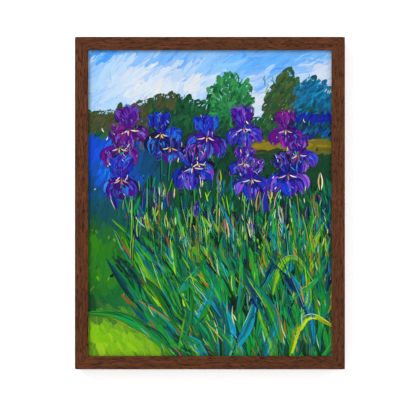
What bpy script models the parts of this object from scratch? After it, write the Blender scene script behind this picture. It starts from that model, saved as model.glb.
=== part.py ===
"""A painting on stretched canvas in a mitred wooden frame, from its rails to its hanging rings.

World coordinates are in metres, +Z up, and the picture faces -Y. The origin is the middle of the
top rail's back face, which hangs against the wall. Every piece hangs on one empty at the middle of
the picture, so the functions below work from that middle, with the frame's back face at y = 0.
"""

import math

import bmesh
import bpy
from mathutils import Matrix, Vector

# The gap between pieces that lie against each other
TOUCH = 0.0003

# Canvas, measured over its turned edges
CANVAS_WIDTH = 0.4064
CANVAS_HEIGHT = 0.508
CLOTH_THICKNESS = 0.0007
CLOTH_TURNOVER = 0.022
PAINT_THICKNESS = 0.0004

# Frame rails
RAIL_WALL = 0.0145
LIP_WIDTH = 0.007
LIP_THICKNESS = 0.005
FRAME_DEPTH = 0.028
RAIL_EDGE = 0.0005
CANVAS_CLEARANCE = 0.0015
PAINT_CLEARANCE = 0.0008

# V-nails in the frame's mitres
NAIL_LEG = 0.006
NAIL_THICKNESS = 0.0006
NAIL_HEIGHT = 0.007

# Stretcher bars
BAR_WIDTH = 0.038
BAR_DEPTH = 0.018
BAR_SLOPE = 0.002
BAR_EDGE = 0.001

# Keys in the stretcher's corners
KEY_LENGTH = 0.028
KEY_BITE = 0.012
KEY_TIP = 0.010
KEY_TAIL = 0.016
KEY_THICKNESS = 0.003
KEY_STAGGER = 0.005

# Pan-head screws
SHANK_RADIUS = 0.0015
SCREW_LENGTH = 0.012
SCREW_POINT = 0.004
HEAD_RADIUS = 0.003
HEAD_HEIGHT = 0.0022
RECESS_ARM = 0.0016
RECESS_WIDTH = 0.0008
RECESS_TIP = 0.0005
RECESS_DEPTH = 0.0012

# Offset clips
CLIP_WIDTH = 0.012
CLIP_THICKNESS = 0.0012
CLIP_SETBACK = 0.0015
CLIP_HOUSING = 0.001
CLIP_REACH = 0.012
CLIP_EDGE = 0.00025
CLIP_FROM_CORNER = 0.080

# Hanger straps and their rings
STRAP_WIDTH = 0.008
STRAP_THICKNESS = 0.0009
STRAP_LENGTH = 0.031
STRAP_FIRST_SCREW = 0.018
STRAP_SCREW_SPACING = 0.008
STRAP_FROM_EDGE = 0.008
RING_DROP = 0.135
RING_WIRE_RADIUS = 0.0009
RING_INNER_WIDTH = 0.011
RING_STRAIGHT = 0.006
RING_CORNER = 0.0015

# Wall bumpers
BUMPER_RADIUS = 0.005
BUMPER_HEIGHT = 0.0025
BUMPER_EDGE = 0.0008
BUMPER_FROM_EDGE = 0.040

# Sizes that follow from the ones above
RABBET_WIDTH = CANVAS_WIDTH + 2 * CANVAS_CLEARANCE
RABBET_HEIGHT = CANVAS_HEIGHT + 2 * CANVAS_CLEARANCE
FRAME_WIDTH = RABBET_WIDTH + 2 * RAIL_WALL
FRAME_HEIGHT = RABBET_HEIGHT + 2 * RAIL_WALL
PAINT_FRONT = -FRAME_DEPTH + LIP_THICKNESS + PAINT_CLEARANCE
CANVAS_FRONT = PAINT_FRONT + PAINT_THICKNESS + TOUCH
BAR_FRONT = CANVAS_FRONT + CLOTH_THICKNESS + TOUCH
BAR_BACK = BAR_FRONT + BAR_DEPTH
CANVAS_BACK = BAR_BACK + TOUCH + CLOTH_THICKNESS
BARS_WIDTH = CANVAS_WIDTH - 2 * (CLOTH_THICKNESS + TOUCH)
BARS_HEIGHT = CANVAS_HEIGHT - 2 * (CLOTH_THICKNESS + TOUCH)
HOLE_RADIUS = SHANK_RADIUS + TOUCH
BARREL_INNER = RING_WIRE_RADIUS + TOUCH
BARREL_OUTER = BARREL_INNER + STRAP_THICKNESS
BARREL_Y = TOUCH + BARREL_OUTER
CENTRE_Z = RAIL_WALL / 2 - FRAME_HEIGHT / 2

# How finely curved outlines are drawn, and how large flat outlines are drawn before they are filled
ARC_STEPS = 16
TURN_STEPS = 20
WIRE_SIDES = 2
DRAWING_SCALE = 1000.0

WELD = 0.000001
SLOT_DEPTH = NAIL_HEIGHT + 2 * TOUCH
PILOT_DEPTH = SCREW_LENGTH + 2 * TOUCH

# Columns give the directions of an outline's x, its y and its length
ALONG_X = Matrix(((0, 0, 1, 0), (0, 1, 0, 0), (-1, 0, 0, 0), (0, 0, 0, 1)))
ALONG_Y = Matrix(((1, 0, 0, 0), (0, 0, -1, 0), (0, 1, 0, 0), (0, 0, 0, 1)))

# Each side's turn about Y from the top rail, and whether it lies across the picture
SIDES = {"top": (0, True), "right": (90, False), "bottom": (180, True), "left": (270, False)}
CORNERS = {"top_left": (-1, 1), "top_right": (1, 1), "bottom_left": (-1, -1), "bottom_right": (1, -1)}


def clear_scene():
    for thing in list(bpy.data.objects):
        bpy.data.objects.remove(thing, do_unlink=True)


def new_collection(name):
    made = bpy.data.collections.new(name)
    bpy.context.scene.collection.children.link(made)
    return made


def finish(name, colour, roughness, metallic=0.0):
    made = bpy.data.materials.new(name)
    made.use_nodes = True
    shader = made.node_tree.nodes["Principled BSDF"]
    shader.inputs["Base Color"].default_value = (*colour, 1.0)
    shader.inputs["Roughness"].default_value = roughness
    shader.inputs["Metallic"].default_value = metallic
    return made


def make_finishes():
    return {
        "frame_wood": finish("frame_wood", (0.115, 0.032, 0.012), 0.5),
        "bar_wood": finish("bar_wood", (0.60, 0.42, 0.24), 0.7),
        "key_wood": finish("key_wood", (0.52, 0.33, 0.18), 0.65),
        "cloth": finish("cloth", (0.72, 0.66, 0.54), 0.9),
        "paint": finish("paint", (0.05, 0.22, 0.12), 0.45),
        "zinc": finish("zinc", (0.55, 0.56, 0.58), 0.35, 1.0),
        "nickel": finish("nickel", (0.70, 0.68, 0.64), 0.22, 1.0),
        "bumper": finish("bumper", (0.03, 0.03, 0.03), 0.8),
    }


def tidy(mesh):
    """Welds a mesh's loose seams and turns its faces outwards."""
    work = bmesh.new()
    work.from_mesh(mesh)
    bmesh.ops.remove_doubles(work, verts=work.verts, dist=WELD)
    bmesh.ops.recalc_face_normals(work, faces=work.faces)
    work.to_mesh(mesh)
    work.free()


def curve_mesh(curve):
    """The welded mesh of a curve, which is then removed."""
    drawn = bpy.data.objects.new(curve.name, curve)
    bpy.context.scene.collection.objects.link(drawn)
    evaluated = drawn.evaluated_get(bpy.context.evaluated_depsgraph_get())
    mesh = bpy.data.meshes.new_from_object(evaluated)
    bpy.data.objects.remove(drawn)
    bpy.data.curves.remove(curve)
    return mesh


def prism_mesh(name, outlines, length, axes):
    """A solid of a flat outline and the holes in it, length long and centred on its outline."""
    curve = bpy.data.curves.new(name, "CURVE")
    curve.dimensions = "2D"
    curve.fill_mode = "BOTH"
    curve.extrude = DRAWING_SCALE * length / 2
    for points in outlines:
        spline = curve.splines.new("POLY")
        spline.points.add(len(points) - 1)
        for point, (x, y) in zip(spline.points, points):
            point.co = (DRAWING_SCALE * x, DRAWING_SCALE * y, 0.0, 1.0)
        spline.use_cyclic_u = True
    mesh = curve_mesh(curve)
    mesh.transform(axes @ Matrix.Scale(1 / DRAWING_SCALE, 4))
    tidy(mesh)
    return mesh


def box_mesh(name, low, high):
    work = bmesh.new()
    size = Vector(high) - Vector(low)
    middle = (Vector(high) + Vector(low)) / 2
    bmesh.ops.create_cube(work, size=1.0, matrix=Matrix.Translation(middle) @ Matrix.Diagonal((*size, 1)))
    mesh = bpy.data.meshes.new(name)
    work.to_mesh(mesh)
    work.free()
    return mesh


def rod_mesh(name, radius, low_y, high_y, segments):
    """A round rod along Y."""
    work = bmesh.new()
    bmesh.ops.create_cone(
        work,
        cap_ends=True,
        segments=segments,
        radius1=radius,
        radius2=radius,
        depth=high_y - low_y,
        matrix=Matrix.Translation((0, (low_y + high_y) / 2, 0)) @ Matrix.Rotation(math.pi / 2, 4, "X"),
    )
    bmesh.ops.recalc_face_normals(work, faces=work.faces)
    mesh = bpy.data.meshes.new(name)
    work.to_mesh(mesh)
    work.free()
    return mesh


def arc(centre, radius, start, end, steps):
    """Points on a circle from one angle to another, in degrees."""
    angles = (math.radians(start + (end - start) * i / steps) for i in range(steps + 1))
    return [(centre[0] + radius * math.cos(a), centre[1] + radius * math.sin(a)) for a in angles]


class Builder:
    """Places pieces on the picture's middle, and keeps what they are cut with apart."""

    def __init__(self):
        self.pieces = new_collection("framed_painting")
        self.cutters = new_collection("cutters")
        self.finishes = make_finishes()
        self.middle = bpy.data.objects.new("picture_middle", None)
        self.middle.location = (0, 0, CENTRE_Z)
        self.pieces.objects.link(self.middle)

    def piece(self, name, mesh, finish_name, place=(0, 0, 0), turn=(0, 0, 0)):
        made = bpy.data.objects.new(name, mesh)
        made.location = place
        made.rotation_euler = turn
        made.parent = self.middle
        made.data.materials.clear()
        made.data.materials.append(self.finishes[finish_name])
        self.pieces.objects.link(made)
        return made

    def cut(self, piece, mesh, place=(0, 0, 0), turn=(0, 0, 0)):
        tool = bpy.data.objects.new(piece.name + "_cutter", mesh)
        tool.location = place
        tool.rotation_euler = turn
        tool.parent = self.middle
        tool.hide_render = True
        tool.display_type = "WIRE"
        self.cutters.objects.link(tool)
        change = piece.modifiers.new("cut", "BOOLEAN")
        change.operation = "DIFFERENCE"
        change.solver = "EXACT"
        change.object = tool
        return tool


def soften(piece, width, segments, by_weight=False):
    edge = piece.modifiers.new("edge", "BEVEL")
    edge.width = width
    edge.segments = segments
    edge.limit_method = "WEIGHT" if by_weight else "ANGLE"
    edge.use_clamp_overlap = True


def mitred_mesh(name, profile, length):
    """A bar along X with its outer edge at z = 0, whose ends are cut at 45 degrees.

    The profile's x runs from the bar's outer edge inwards and its y is the depth. The long edges
    are weighted, so that a Bevel softens them and leaves the mitres sharp.
    """
    mesh = prism_mesh(name, [profile], length, ALONG_X)
    back_off = TOUCH / 2 * math.sqrt(2)
    for corner in mesh.vertices:
        shift = -corner.co.z + back_off
        corner.co.x += -shift if corner.co.x > 0 else shift
    weights = mesh.attributes.new("bevel_weight_edge", "FLOAT", "EDGE")
    for edge in mesh.edges:
        start, end = (mesh.vertices[i].co for i in edge.vertices)
        spans = start.x * end.x < 0
        level = abs(start.y - end.y) < WELD and abs(start.z - end.z) < WELD
        weights.data[edge.index].value = 1.0 if spans and level else 0.0
    return mesh


def side_place(side, width, height):
    """Where the middle of a side's outer edge is, and how its bar is turned."""
    degrees, across = SIDES[side]
    reach = height / 2 if across else width / 2
    turn = math.radians(degrees)
    return (reach * math.sin(turn), 0, reach * math.cos(turn)), (0, turn, 0)


def along_side(side, along, inward, width, height):
    """The point that lies along a side from its middle, and inward from its outer edge."""
    place, turn = side_place(side, width, height)
    step = Matrix.Rotation(turn[1], 3, "Y") @ Vector((along, 0, -inward))
    return Vector(place) + step


def clip_places():
    """Each clip's name, side and place along it."""
    found = []
    for side, (_, across) in SIDES.items():
        run = (FRAME_WIDTH if across else FRAME_HEIGHT) / 2 - CLIP_FROM_CORNER
        found.append((f"{side}_1", side, -run))
        found.append((f"{side}_2", side, run))
    return found


def strap_places():
    """Each hanger strap's name and the place of its ring's axis."""
    reach = FRAME_WIDTH / 2 - STRAP_FROM_EDGE
    height = FRAME_HEIGHT / 2 - RING_DROP
    return [("left", Vector((-reach, BARREL_Y, height))), ("right", Vector((reach, BARREL_Y, height)))]


def strap_screw_places(axis):
    drops = (STRAP_FIRST_SCREW, STRAP_FIRST_SCREW + STRAP_SCREW_SPACING)
    return [Vector((axis.x, 0, axis.z - drop)) for drop in drops]


def screw_places():
    """The places, on the frame's back face, of the screws in each side rail."""
    found = {side: [] for side in SIDES}
    for _, side, along in clip_places():
        found[side].append(along_side(side, along, RAIL_WALL / 2, FRAME_WIDTH, FRAME_HEIGHT))
    for _, axis in strap_places():
        found["right" if axis.x > 0 else "left"].extend(strap_screw_places(axis))
    return found


def nail_outline(extra):
    """A V with legs at a right angle, its corner at the origin, thickened by extra all round."""
    half = NAIL_THICKNESS / 2 + extra
    leg = NAIL_LEG + extra
    return [(-half, half), (leg, half), (leg, -half), (half, -half), (half, -leg), (-half, -leg)]


def corner_point(corner, inward, width, height):
    """The point that lies inward, both ways, from a corner of a rectangle."""
    x_sign, z_sign = CORNERS[corner]
    return Vector((x_sign * (width / 2 - inward), 0, z_sign * (height / 2 - inward)))


def flipped(outline, x_sign, z_sign):
    return [(-x_sign * x, z_sign * y) for x, y in outline]


def build_rails(builder):
    profile = [
        (0, -FRAME_DEPTH),
        (RAIL_WALL + LIP_WIDTH, -FRAME_DEPTH),
        (RAIL_WALL + LIP_WIDTH, -FRAME_DEPTH + LIP_THICKNESS),
        (RAIL_WALL, -FRAME_DEPTH + LIP_THICKNESS),
        (RAIL_WALL, 0),
        (0, 0),
    ]
    screws = screw_places()
    for side, (_, across) in SIDES.items():
        name = f"frame_rail_{side}"
        length = FRAME_WIDTH if across else FRAME_HEIGHT
        place, turn = side_place(side, FRAME_WIDTH, FRAME_HEIGHT)
        rail = builder.piece(name, mitred_mesh(name, profile, length), "frame_wood", place, turn)
        soften(rail, RAIL_EDGE, 2, by_weight=True)
        for spot in screws[side]:
            hole = rod_mesh(name + "_hole", HOLE_RADIUS, -PILOT_DEPTH, FRAME_DEPTH, ARC_STEPS)
            builder.cut(rail, hole, spot)
        for corner, (x_sign, z_sign) in CORNERS.items():
            if side in corner.split("_"):
                outline = flipped(nail_outline(TOUCH), x_sign, z_sign)
                slot = prism_mesh(name + "_slot", [outline], 2 * SLOT_DEPTH, ALONG_Y)
                spot = corner_point(corner, RAIL_WALL / 2, FRAME_WIDTH, FRAME_HEIGHT)
                builder.cut(rail, slot, spot)


def build_nails(builder):
    for corner, (x_sign, z_sign) in CORNERS.items():
        name = f"frame_nail_{corner}"
        mesh = prism_mesh(name, [flipped(nail_outline(0), x_sign, z_sign)], NAIL_HEIGHT, ALONG_Y)
        spot = corner_point(corner, RAIL_WALL / 2, FRAME_WIDTH, FRAME_HEIGHT)
        spot.y = -TOUCH - NAIL_HEIGHT / 2
        builder.piece(name, mesh, "zinc", spot)


def key_outline(corner, lengthwise):
    """A key's outline in the plane of the picture, from a corner of the bars' inner edge.

    A lengthwise key points up or down into the top or bottom bar, and the other points sideways.
    """
    x_sign, z_sign = CORNERS[corner]
    tip, tail = -KEY_BITE, KEY_LENGTH - KEY_BITE
    shape = [(tip, TOUCH), (tail, TOUCH), (tail, TOUCH + KEY_TAIL), (tip, TOUCH + KEY_TIP)]
    if lengthwise:
        shape = [(across, run) for run, across in shape]
    return [(-x_sign * x, -z_sign * z) for x, z in shape]


def key_slot(name, corner, lengthwise, depth_middle):
    """What a key's slot takes out of the bar that it points into."""
    x_sign, z_sign = CORNERS[corner]
    inner = corner_point(corner, BAR_WIDTH, BARS_WIDTH, BARS_HEIGHT)
    spans = [(-KEY_BITE - TOUCH, BAR_EDGE), (0, KEY_TAIL + 2 * TOUCH)]
    if lengthwise:
        spans.reverse()
    ends_x = sorted(inner.x - x_sign * run for run in spans[0])
    ends_z = sorted(inner.z - z_sign * run for run in spans[1])
    half = KEY_THICKNESS / 2 + TOUCH
    low = (ends_x[0], depth_middle - half, ends_z[0])
    high = (ends_x[1], depth_middle + half, ends_z[1])
    return box_mesh(name, low, high)


def key_depth(lengthwise):
    middle = (BAR_FRONT + BAR_BACK) / 2
    return middle + (KEY_STAGGER / 2 if lengthwise else -KEY_STAGGER / 2)


def build_bars(builder):
    profile = [
        (0, BAR_FRONT),
        (BAR_WIDTH, BAR_FRONT + BAR_SLOPE),
        (BAR_WIDTH, BAR_BACK),
        (0, BAR_BACK),
    ]
    for side, (_, across) in SIDES.items():
        name = f"stretcher_bar_{side}"
        length = BARS_WIDTH if across else BARS_HEIGHT
        place, turn = side_place(side, BARS_WIDTH, BARS_HEIGHT)
        bar = builder.piece(name, mitred_mesh(name, profile, length), "bar_wood", place, turn)
        soften(bar, BAR_EDGE, 2, by_weight=True)
        for corner in CORNERS:
            if side in corner.split("_"):
                builder.cut(bar, key_slot(name + "_slot", corner, across, key_depth(across)))


def build_keys(builder):
    for corner in CORNERS:
        inner = corner_point(corner, BAR_WIDTH, BARS_WIDTH, BARS_HEIGHT)
        for lengthwise, word in ((True, "upright"), (False, "level")):
            name = f"stretcher_key_{corner}_{word}"
            mesh = prism_mesh(name, [key_outline(corner, lengthwise)], KEY_THICKNESS, ALONG_Y)
            inner.y = key_depth(lengthwise)
            builder.piece(name, mesh, "key_wood", inner.copy())


def build_canvas(builder):
    """A box of cloth round the bars, open at the back inside its turned-over edge."""
    half_x, half_z = CANVAS_WIDTH / 2, CANVAS_HEIGHT / 2
    mesh = box_mesh("canvas", (-half_x, CANVAS_FRONT, -half_z), (half_x, CANVAS_BACK, half_z))
    work = bmesh.new()
    work.from_mesh(mesh)
    back = [face for face in work.faces if face.normal.y > 0.9]
    bmesh.ops.inset_individual(work, faces=back, thickness=CLOTH_TURNOVER, use_even_offset=True)
    bmesh.ops.delete(work, geom=back, context="FACES")
    work.to_mesh(mesh)
    work.free()
    canvas = builder.piece("canvas", mesh, "cloth")
    wall = canvas.modifiers.new("cloth", "SOLIDIFY")
    wall.thickness = CLOTH_THICKNESS
    wall.offset = -1.0
    wall.use_even_offset = True
    low = (-half_x, PAINT_FRONT, -half_z)
    high = (half_x, PAINT_FRONT + PAINT_THICKNESS, half_z)
    builder.piece("paint_layer", box_mesh("paint_layer", low, high), "paint")


def screw_mesh():
    """Half of a pan-head screw's outline, from the top of its head to its point."""
    rise = arc((0, 0), 1.0, 90, 0, 5)
    profile = [(HEAD_RADIUS * x, HEAD_HEIGHT * y) for x, y in rise]
    profile += [(SHANK_RADIUS, 0), (SHANK_RADIUS, SCREW_POINT - SCREW_LENGTH), (0, -SCREW_LENGTH)]
    profile[0] = (0, HEAD_HEIGHT)
    mesh = bpy.data.meshes.new("screw")
    work = bmesh.new()
    corners = [work.verts.new((x, 0, z)) for x, z in profile]
    for start, end in zip(corners, corners[1:]):
        work.edges.new((start, end))
    work.to_mesh(mesh)
    work.free()
    return mesh


def add_screw(builder, name, spot, seat_y):
    """A screw whose head sits at seat_y and whose shank runs into the frame."""
    upright = (-math.pi / 2, 0, 0)
    place = (spot.x, seat_y, spot.z)
    screw = builder.piece(name, screw_mesh(), "zinc", place, upright)
    turned = screw.modifiers.new("turn", "SCREW")
    turned.steps = TURN_STEPS
    turned.render_steps = TURN_STEPS
    turned.use_merge_vertices = True
    turned.merge_threshold = WELD
    arm, half, tip = RECESS_ARM, RECESS_WIDTH / 2, RECESS_TIP / 2
    cross = [(arm, -tip), (arm, tip), (half, half), (tip, arm), (-tip, arm), (-half, half)]
    cross += [(-x, -y) for x, y in cross]
    recess = prism_mesh(name + "_recess", [cross], 2 * RECESS_DEPTH, ALONG_Y)
    builder.cut(screw, recess, (spot.x, seat_y + HEAD_HEIGHT, spot.z))


def build_clips(builder):
    """Each clip's foot is let into the rail's back, so that a wall meets the wood beside it."""
    near, far = TOUCH - CLIP_HOUSING, CANVAS_BACK + TOUCH
    spare = -TOUCH if far > near else TOUCH
    foot, canvas_edge = RAIL_WALL + spare, RAIL_WALL + CANVAS_CLEARANCE + spare
    end = canvas_edge + CLIP_REACH
    profile = [
        (CLIP_SETBACK, near),
        (foot, near),
        (canvas_edge, far),
        (end, far),
        (end, far + CLIP_THICKNESS),
        (canvas_edge, far + CLIP_THICKNESS),
        (foot, near + CLIP_THICKNESS),
        (CLIP_SETBACK, near + CLIP_THICKNESS),
    ]
    half = CLIP_WIDTH / 2 + TOUCH
    for label, side, along in clip_places():
        name = f"clip_{label}"
        place, turn = side_place(side, FRAME_WIDTH, FRAME_HEIGHT)
        spot = along_side(side, along, 0, FRAME_WIDTH, FRAME_HEIGHT)
        clip = builder.piece(name, prism_mesh(name, [profile], CLIP_WIDTH, ALONG_X), "zinc", spot, turn)
        soften(clip, CLIP_EDGE, 1)
        hole_spot = along_side(side, along, RAIL_WALL / 2, FRAME_WIDTH, FRAME_HEIGHT)
        hole = rod_mesh(name + "_hole", HOLE_RADIUS, -FRAME_DEPTH, FRAME_DEPTH, ARC_STEPS)
        builder.cut(clip, hole, hole_spot)
        add_screw(builder, f"clip_screw_{label}", hole_spot, near + CLIP_THICKNESS + TOUCH)
        low = (-half, -CLIP_HOUSING, -2 * RAIL_WALL)
        high = (half, FRAME_DEPTH, TOUCH - CLIP_SETBACK)
        rail = builder.pieces.objects[f"frame_rail_{side}"]
        builder.cut(rail, box_mesh(name + "_housing", low, high), spot, turn)


def strap_profile():
    """A strap's side outline, with its barrel's centre at the origin, and the barrel's hole."""
    front, back = -BARREL_OUTER, STRAP_THICKNESS - BARREL_OUTER
    meet = math.degrees(math.acos(-back / BARREL_OUTER))
    barrel = arc((0, 0), BARREL_OUTER, -90, 270 - meet, ARC_STEPS)
    outer = [(-STRAP_LENGTH, front), *barrel, (-STRAP_LENGTH, back)]
    hole = arc((0, 0), BARREL_INNER, 0, 360, ARC_STEPS)[:-1]
    return [[(-along, depth) for along, depth in outline] for outline in (outer, hole)]


def ring_mesh(name):
    """A D of wire that hangs from its straight leg, which lies on the X axis."""
    half = RING_INNER_WIDTH / 2 + RING_WIRE_RADIUS
    bend = (half - RING_CORNER, -RING_CORNER)
    points = arc(bend, RING_CORNER, 90, 0, 4)
    points += arc((0, -RING_STRAIGHT), half, 0, -180, ARC_STEPS)
    points += arc((-bend[0], bend[1]), RING_CORNER, 180, 90, 4)
    curve = bpy.data.curves.new(name, "CURVE")
    curve.dimensions = "3D"
    curve.bevel_depth = RING_WIRE_RADIUS
    curve.bevel_resolution = WIRE_SIDES
    spline = curve.splines.new("POLY")
    spline.points.add(len(points) - 1)
    for point, (x, z) in zip(spline.points, points):
        point.co = (x, 0, z, 1)
    spline.use_cyclic_u = True
    mesh = curve_mesh(curve)
    tidy(mesh)
    return mesh


def build_hangers(builder):
    for label, axis in strap_places():
        name = f"hanger_strap_{label}"
        mesh = prism_mesh(name, strap_profile(), STRAP_WIDTH, ALONG_X)
        strap = builder.piece(name, mesh, "nickel", axis)
        soften(strap, CLIP_EDGE, 1)
        for number, spot in enumerate(strap_screw_places(axis), 1):
            hole = rod_mesh(name + "_hole", HOLE_RADIUS, -FRAME_DEPTH, FRAME_DEPTH, ARC_STEPS)
            builder.cut(strap, hole, spot)
            seat = TOUCH + STRAP_THICKNESS + TOUCH
            add_screw(builder, f"hanger_screw_{label}_{number}", spot, seat)
        builder.piece(f"hanging_ring_{label}", ring_mesh(f"hanging_ring_{label}"), "nickel", axis)


def build_bumpers(builder):
    for label, sign in (("left", -1), ("right", 1)):
        name = f"wall_bumper_{label}"
        mesh = rod_mesh(name, BUMPER_RADIUS, TOUCH, TOUCH + BUMPER_HEIGHT, 2 * ARC_STEPS)
        spot = (sign * (FRAME_WIDTH / 2 - BUMPER_FROM_EDGE), 0, RAIL_WALL / 2 - FRAME_HEIGHT / 2)
        soften(builder.piece(name, mesh, "bumper", spot), BUMPER_EDGE, 2)


def smooth_round_pieces(builder):
    for piece in builder.pieces.objects:
        if piece.type == "MESH":
            piece.data.shade_smooth()
            piece.data.set_sharp_from_angle(angle=math.radians(35))


def main():
    clear_scene()
    builder = Builder()
    build_rails(builder)
    build_nails(builder)
    build_bars(builder)
    build_keys(builder)
    build_canvas(builder)
    build_clips(builder)
    build_hangers(builder)
    build_bumpers(builder)
    smooth_round_pieces(builder)


main()
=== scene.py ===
"""Looks for the framed painting: wood, cloth, fittings, and a garden of irises laid in thick oil paint.

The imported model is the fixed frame. Lengths are in metres unless a name ends in _mm, and the
painting is composed in millimetres from the lower left corner of what the frame leaves open.
"""

import logging
import math
from collections.abc import Iterator
from dataclasses import dataclass, field
from enum import Enum

import bmesh
import bpy
import numpy as np
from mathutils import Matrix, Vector


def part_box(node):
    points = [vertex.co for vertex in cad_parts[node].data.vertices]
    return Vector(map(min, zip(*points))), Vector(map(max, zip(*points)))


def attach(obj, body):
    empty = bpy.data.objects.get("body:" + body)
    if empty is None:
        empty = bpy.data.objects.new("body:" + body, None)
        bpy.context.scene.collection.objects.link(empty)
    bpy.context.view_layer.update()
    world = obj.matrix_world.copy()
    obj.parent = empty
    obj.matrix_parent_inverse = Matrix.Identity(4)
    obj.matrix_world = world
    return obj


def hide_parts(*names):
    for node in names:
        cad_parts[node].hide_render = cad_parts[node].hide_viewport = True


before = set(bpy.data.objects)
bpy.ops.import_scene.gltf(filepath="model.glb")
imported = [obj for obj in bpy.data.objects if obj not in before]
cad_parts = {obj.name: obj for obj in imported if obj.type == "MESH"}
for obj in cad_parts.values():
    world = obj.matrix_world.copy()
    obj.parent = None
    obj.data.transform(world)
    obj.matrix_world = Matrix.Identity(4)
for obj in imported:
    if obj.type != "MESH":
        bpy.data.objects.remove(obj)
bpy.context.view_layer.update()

logging.basicConfig(level=logging.INFO, format="%(message)s")
log = logging.getLogger("framed_painting")

BODY = "picture"
MM = 0.001
OPENING_WIDTH_MM = 395.4
OPENING_HEIGHT_MM = 497.0
CLOTH_THREADS = 1700.0
CLOTH_UV = "cloth"

# How a palette's colours leave the brush
DEEPEN = 1.12
ENRICH = 1.1
UNEVEN = 0.004

# How many points a leaf's, a petal's and a stem's middle line has
LEAF_POINTS = 15
PETAL_POINTS = 11
STEM_POINTS = 11

# Where the garden's land meets the air, and the far strip of corn, as shares of the opening
LAND_TOP = 0.73
LAND_EDGE = 0.729
AIR_EDGE = 0.74
CORN_FROM = 0.62
CORN_ABOVE = 0.66


# ---------------------------------------------------------------------------------------------
# Colours
# ---------------------------------------------------------------------------------------------


def pigment(red: float, green: float, blue: float) -> np.ndarray:
    """A colour given from 0 to 255, as the linear light that Blender works in."""
    share = np.array([red, green, blue], float) / 255
    return np.where(share <= 0.04045, share / 12.92, ((share + 0.055) / 1.055) ** 2.4)


def opaque(colour: np.ndarray) -> tuple[float, float, float, float]:
    """A colour with full cover, as a node's socket takes it."""
    return (float(colour[0]), float(colour[1]), float(colour[2]), 1.0)


class Palette:
    """Colours that a brush is loaded with in turn."""

    def __init__(self, *colours: tuple[int, int, int]) -> None:
        """Keeps the colours as linear light.

        Args:
            colours: each as red, green and blue from 0 to 255.
        """
        self.colours = [pigment(*colour) for colour in colours]

    def pick(self, rng: np.random.Generator, spread: float = 0.12) -> np.ndarray:
        """One of the colours, a little lighter or darker than on the palette.

        Args:
            rng: the layer's own random numbers.
            spread: how far its brightness may wander.

        Returns:
            The colour as linear light.
        """
        colour = self.colours[rng.integers(len(self.colours))] ** DEEPEN
        colour = np.clip(colour.mean() + (colour - colour.mean()) * ENRICH, 0.002, 1)
        return np.clip(colour * (1 + rng.normal(0, spread)) + rng.normal(0, UNEVEN, 3), 0, 1)

    def blend(self, rng: np.random.Generator, spread: float = 0.04) -> np.ndarray:
        """Three of the colours worked into one another.

        Args:
            rng: the layer's own random numbers.
            spread: how far each one's brightness may wander.

        Returns:
            The colour as linear light.
        """
        return sum(self.pick(rng, spread) for _ in range(3)) / 3


# ---------------------------------------------------------------------------------------------
# Node trees
# ---------------------------------------------------------------------------------------------


class Wiring:
    """Adds nodes to one tree and joins their sockets."""

    def __init__(self, tree: bpy.types.NodeTree) -> None:
        """Works on this tree from now on."""
        self.tree = tree

    def add(self, kind: str, inputs: dict | None = None, **settings: object) -> bpy.types.Node:
        """Adds a node.

        Args:
            kind: the node's type name.
            inputs: a value or another node's output for each input, by name or number.
            settings: the node's own properties.

        Returns:
            The new node.
        """
        node = self.tree.nodes.new(kind)
        for name, value in settings.items():
            setattr(node, name, value)
        for key, value in (inputs or {}).items():
            socket = node.inputs[key]
            if isinstance(value, bpy.types.NodeSocket):
                self.tree.links.new(value, socket)
            else:
                socket.default_value = value
        return node

    def math(
        self, operation: str, first: object, second: object = 0.0, clamp: bool = False
    ) -> bpy.types.NodeSocket:
        """One sum of two values.

        Args:
            operation: the Math node's operation.
            first: the first value or output.
            second: the second value or output.
            clamp: whether the result is kept from 0 to 1.

        Returns:
            The sum's output.
        """
        kind = "ShaderNodeMath"
        return self.add(kind, {0: first, 1: second}, operation=operation, use_clamp=clamp).outputs[0]

    def named(self, name: str, kind: str = "FLOAT") -> bpy.types.NodeSocket:
        """A mesh's own attribute, read by name inside Geometry Nodes."""
        return self.add("GeometryNodeInputNamedAttribute", {"Name": name}, data_type=kind).outputs[0]

    def store(self, geometry: object, name: str, value: object) -> bpy.types.NodeSocket:
        """Geometry that keeps a number for each of its points, under this name."""
        inputs = {"Geometry": geometry, "Name": name, "Value": value}
        kind = "GeometryNodeStoreNamedAttribute"
        return self.add(kind, inputs, data_type="FLOAT", domain="POINT").outputs[0]

    def vector(self, operation: str, first: object, second: object) -> bpy.types.NodeSocket:
        """One sum of two vectors, whose output this returns."""
        return self.add("ShaderNodeVectorMath", {0: first, 1: second}, operation=operation).outputs[0]

    def noise(
        self, place: object, scale: float, detail: float = 3.0, rough: float = 0.55
    ) -> bpy.types.NodeSocket:
        """Cloudy values round 0.5.

        Args:
            place: the coordinates it is read at.
            scale: how many clouds to a unit.
            detail: how many finer layers it has.
            rough: how strong they are.

        Returns:
            The value's output.
        """
        inputs = {"Vector": place, "Scale": scale, "Detail": detail, "Roughness": rough}
        return self.add("ShaderNodeTexNoise", inputs).outputs[0]

    def ramp(
        self, value: object, low: float, high: float, to_low: float = 0.0, to_high: float = 1.0
    ) -> bpy.types.NodeSocket:
        """Stretches the span from low to high over another span, and stops at its ends.

        Args:
            value: what is stretched.
            low: the value that becomes to_low.
            high: the value that becomes to_high.
            to_low: the result's start.
            to_high: the result's end.

        Returns:
            The stretched value's output.
        """
        inputs = {0: value, 1: low, 2: high, 3: to_low, 4: to_high}
        return self.add("ShaderNodeMapRange", inputs, clamp=True).outputs[0]

    def mix(self, share: object, first: object, second: object, blend: str = "MIX") -> bpy.types.NodeSocket:
        """Mixes two colours.

        Args:
            share: how much of the second there is.
            first: the first colour or output.
            second: the second colour or output.
            blend: the way they mix.

        Returns:
            The mixed colour's output.
        """
        inputs = {0: share, 6: first, 7: second}
        return self.add("ShaderNodeMix", inputs, data_type="RGBA", blend_type=blend).outputs[2]


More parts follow.
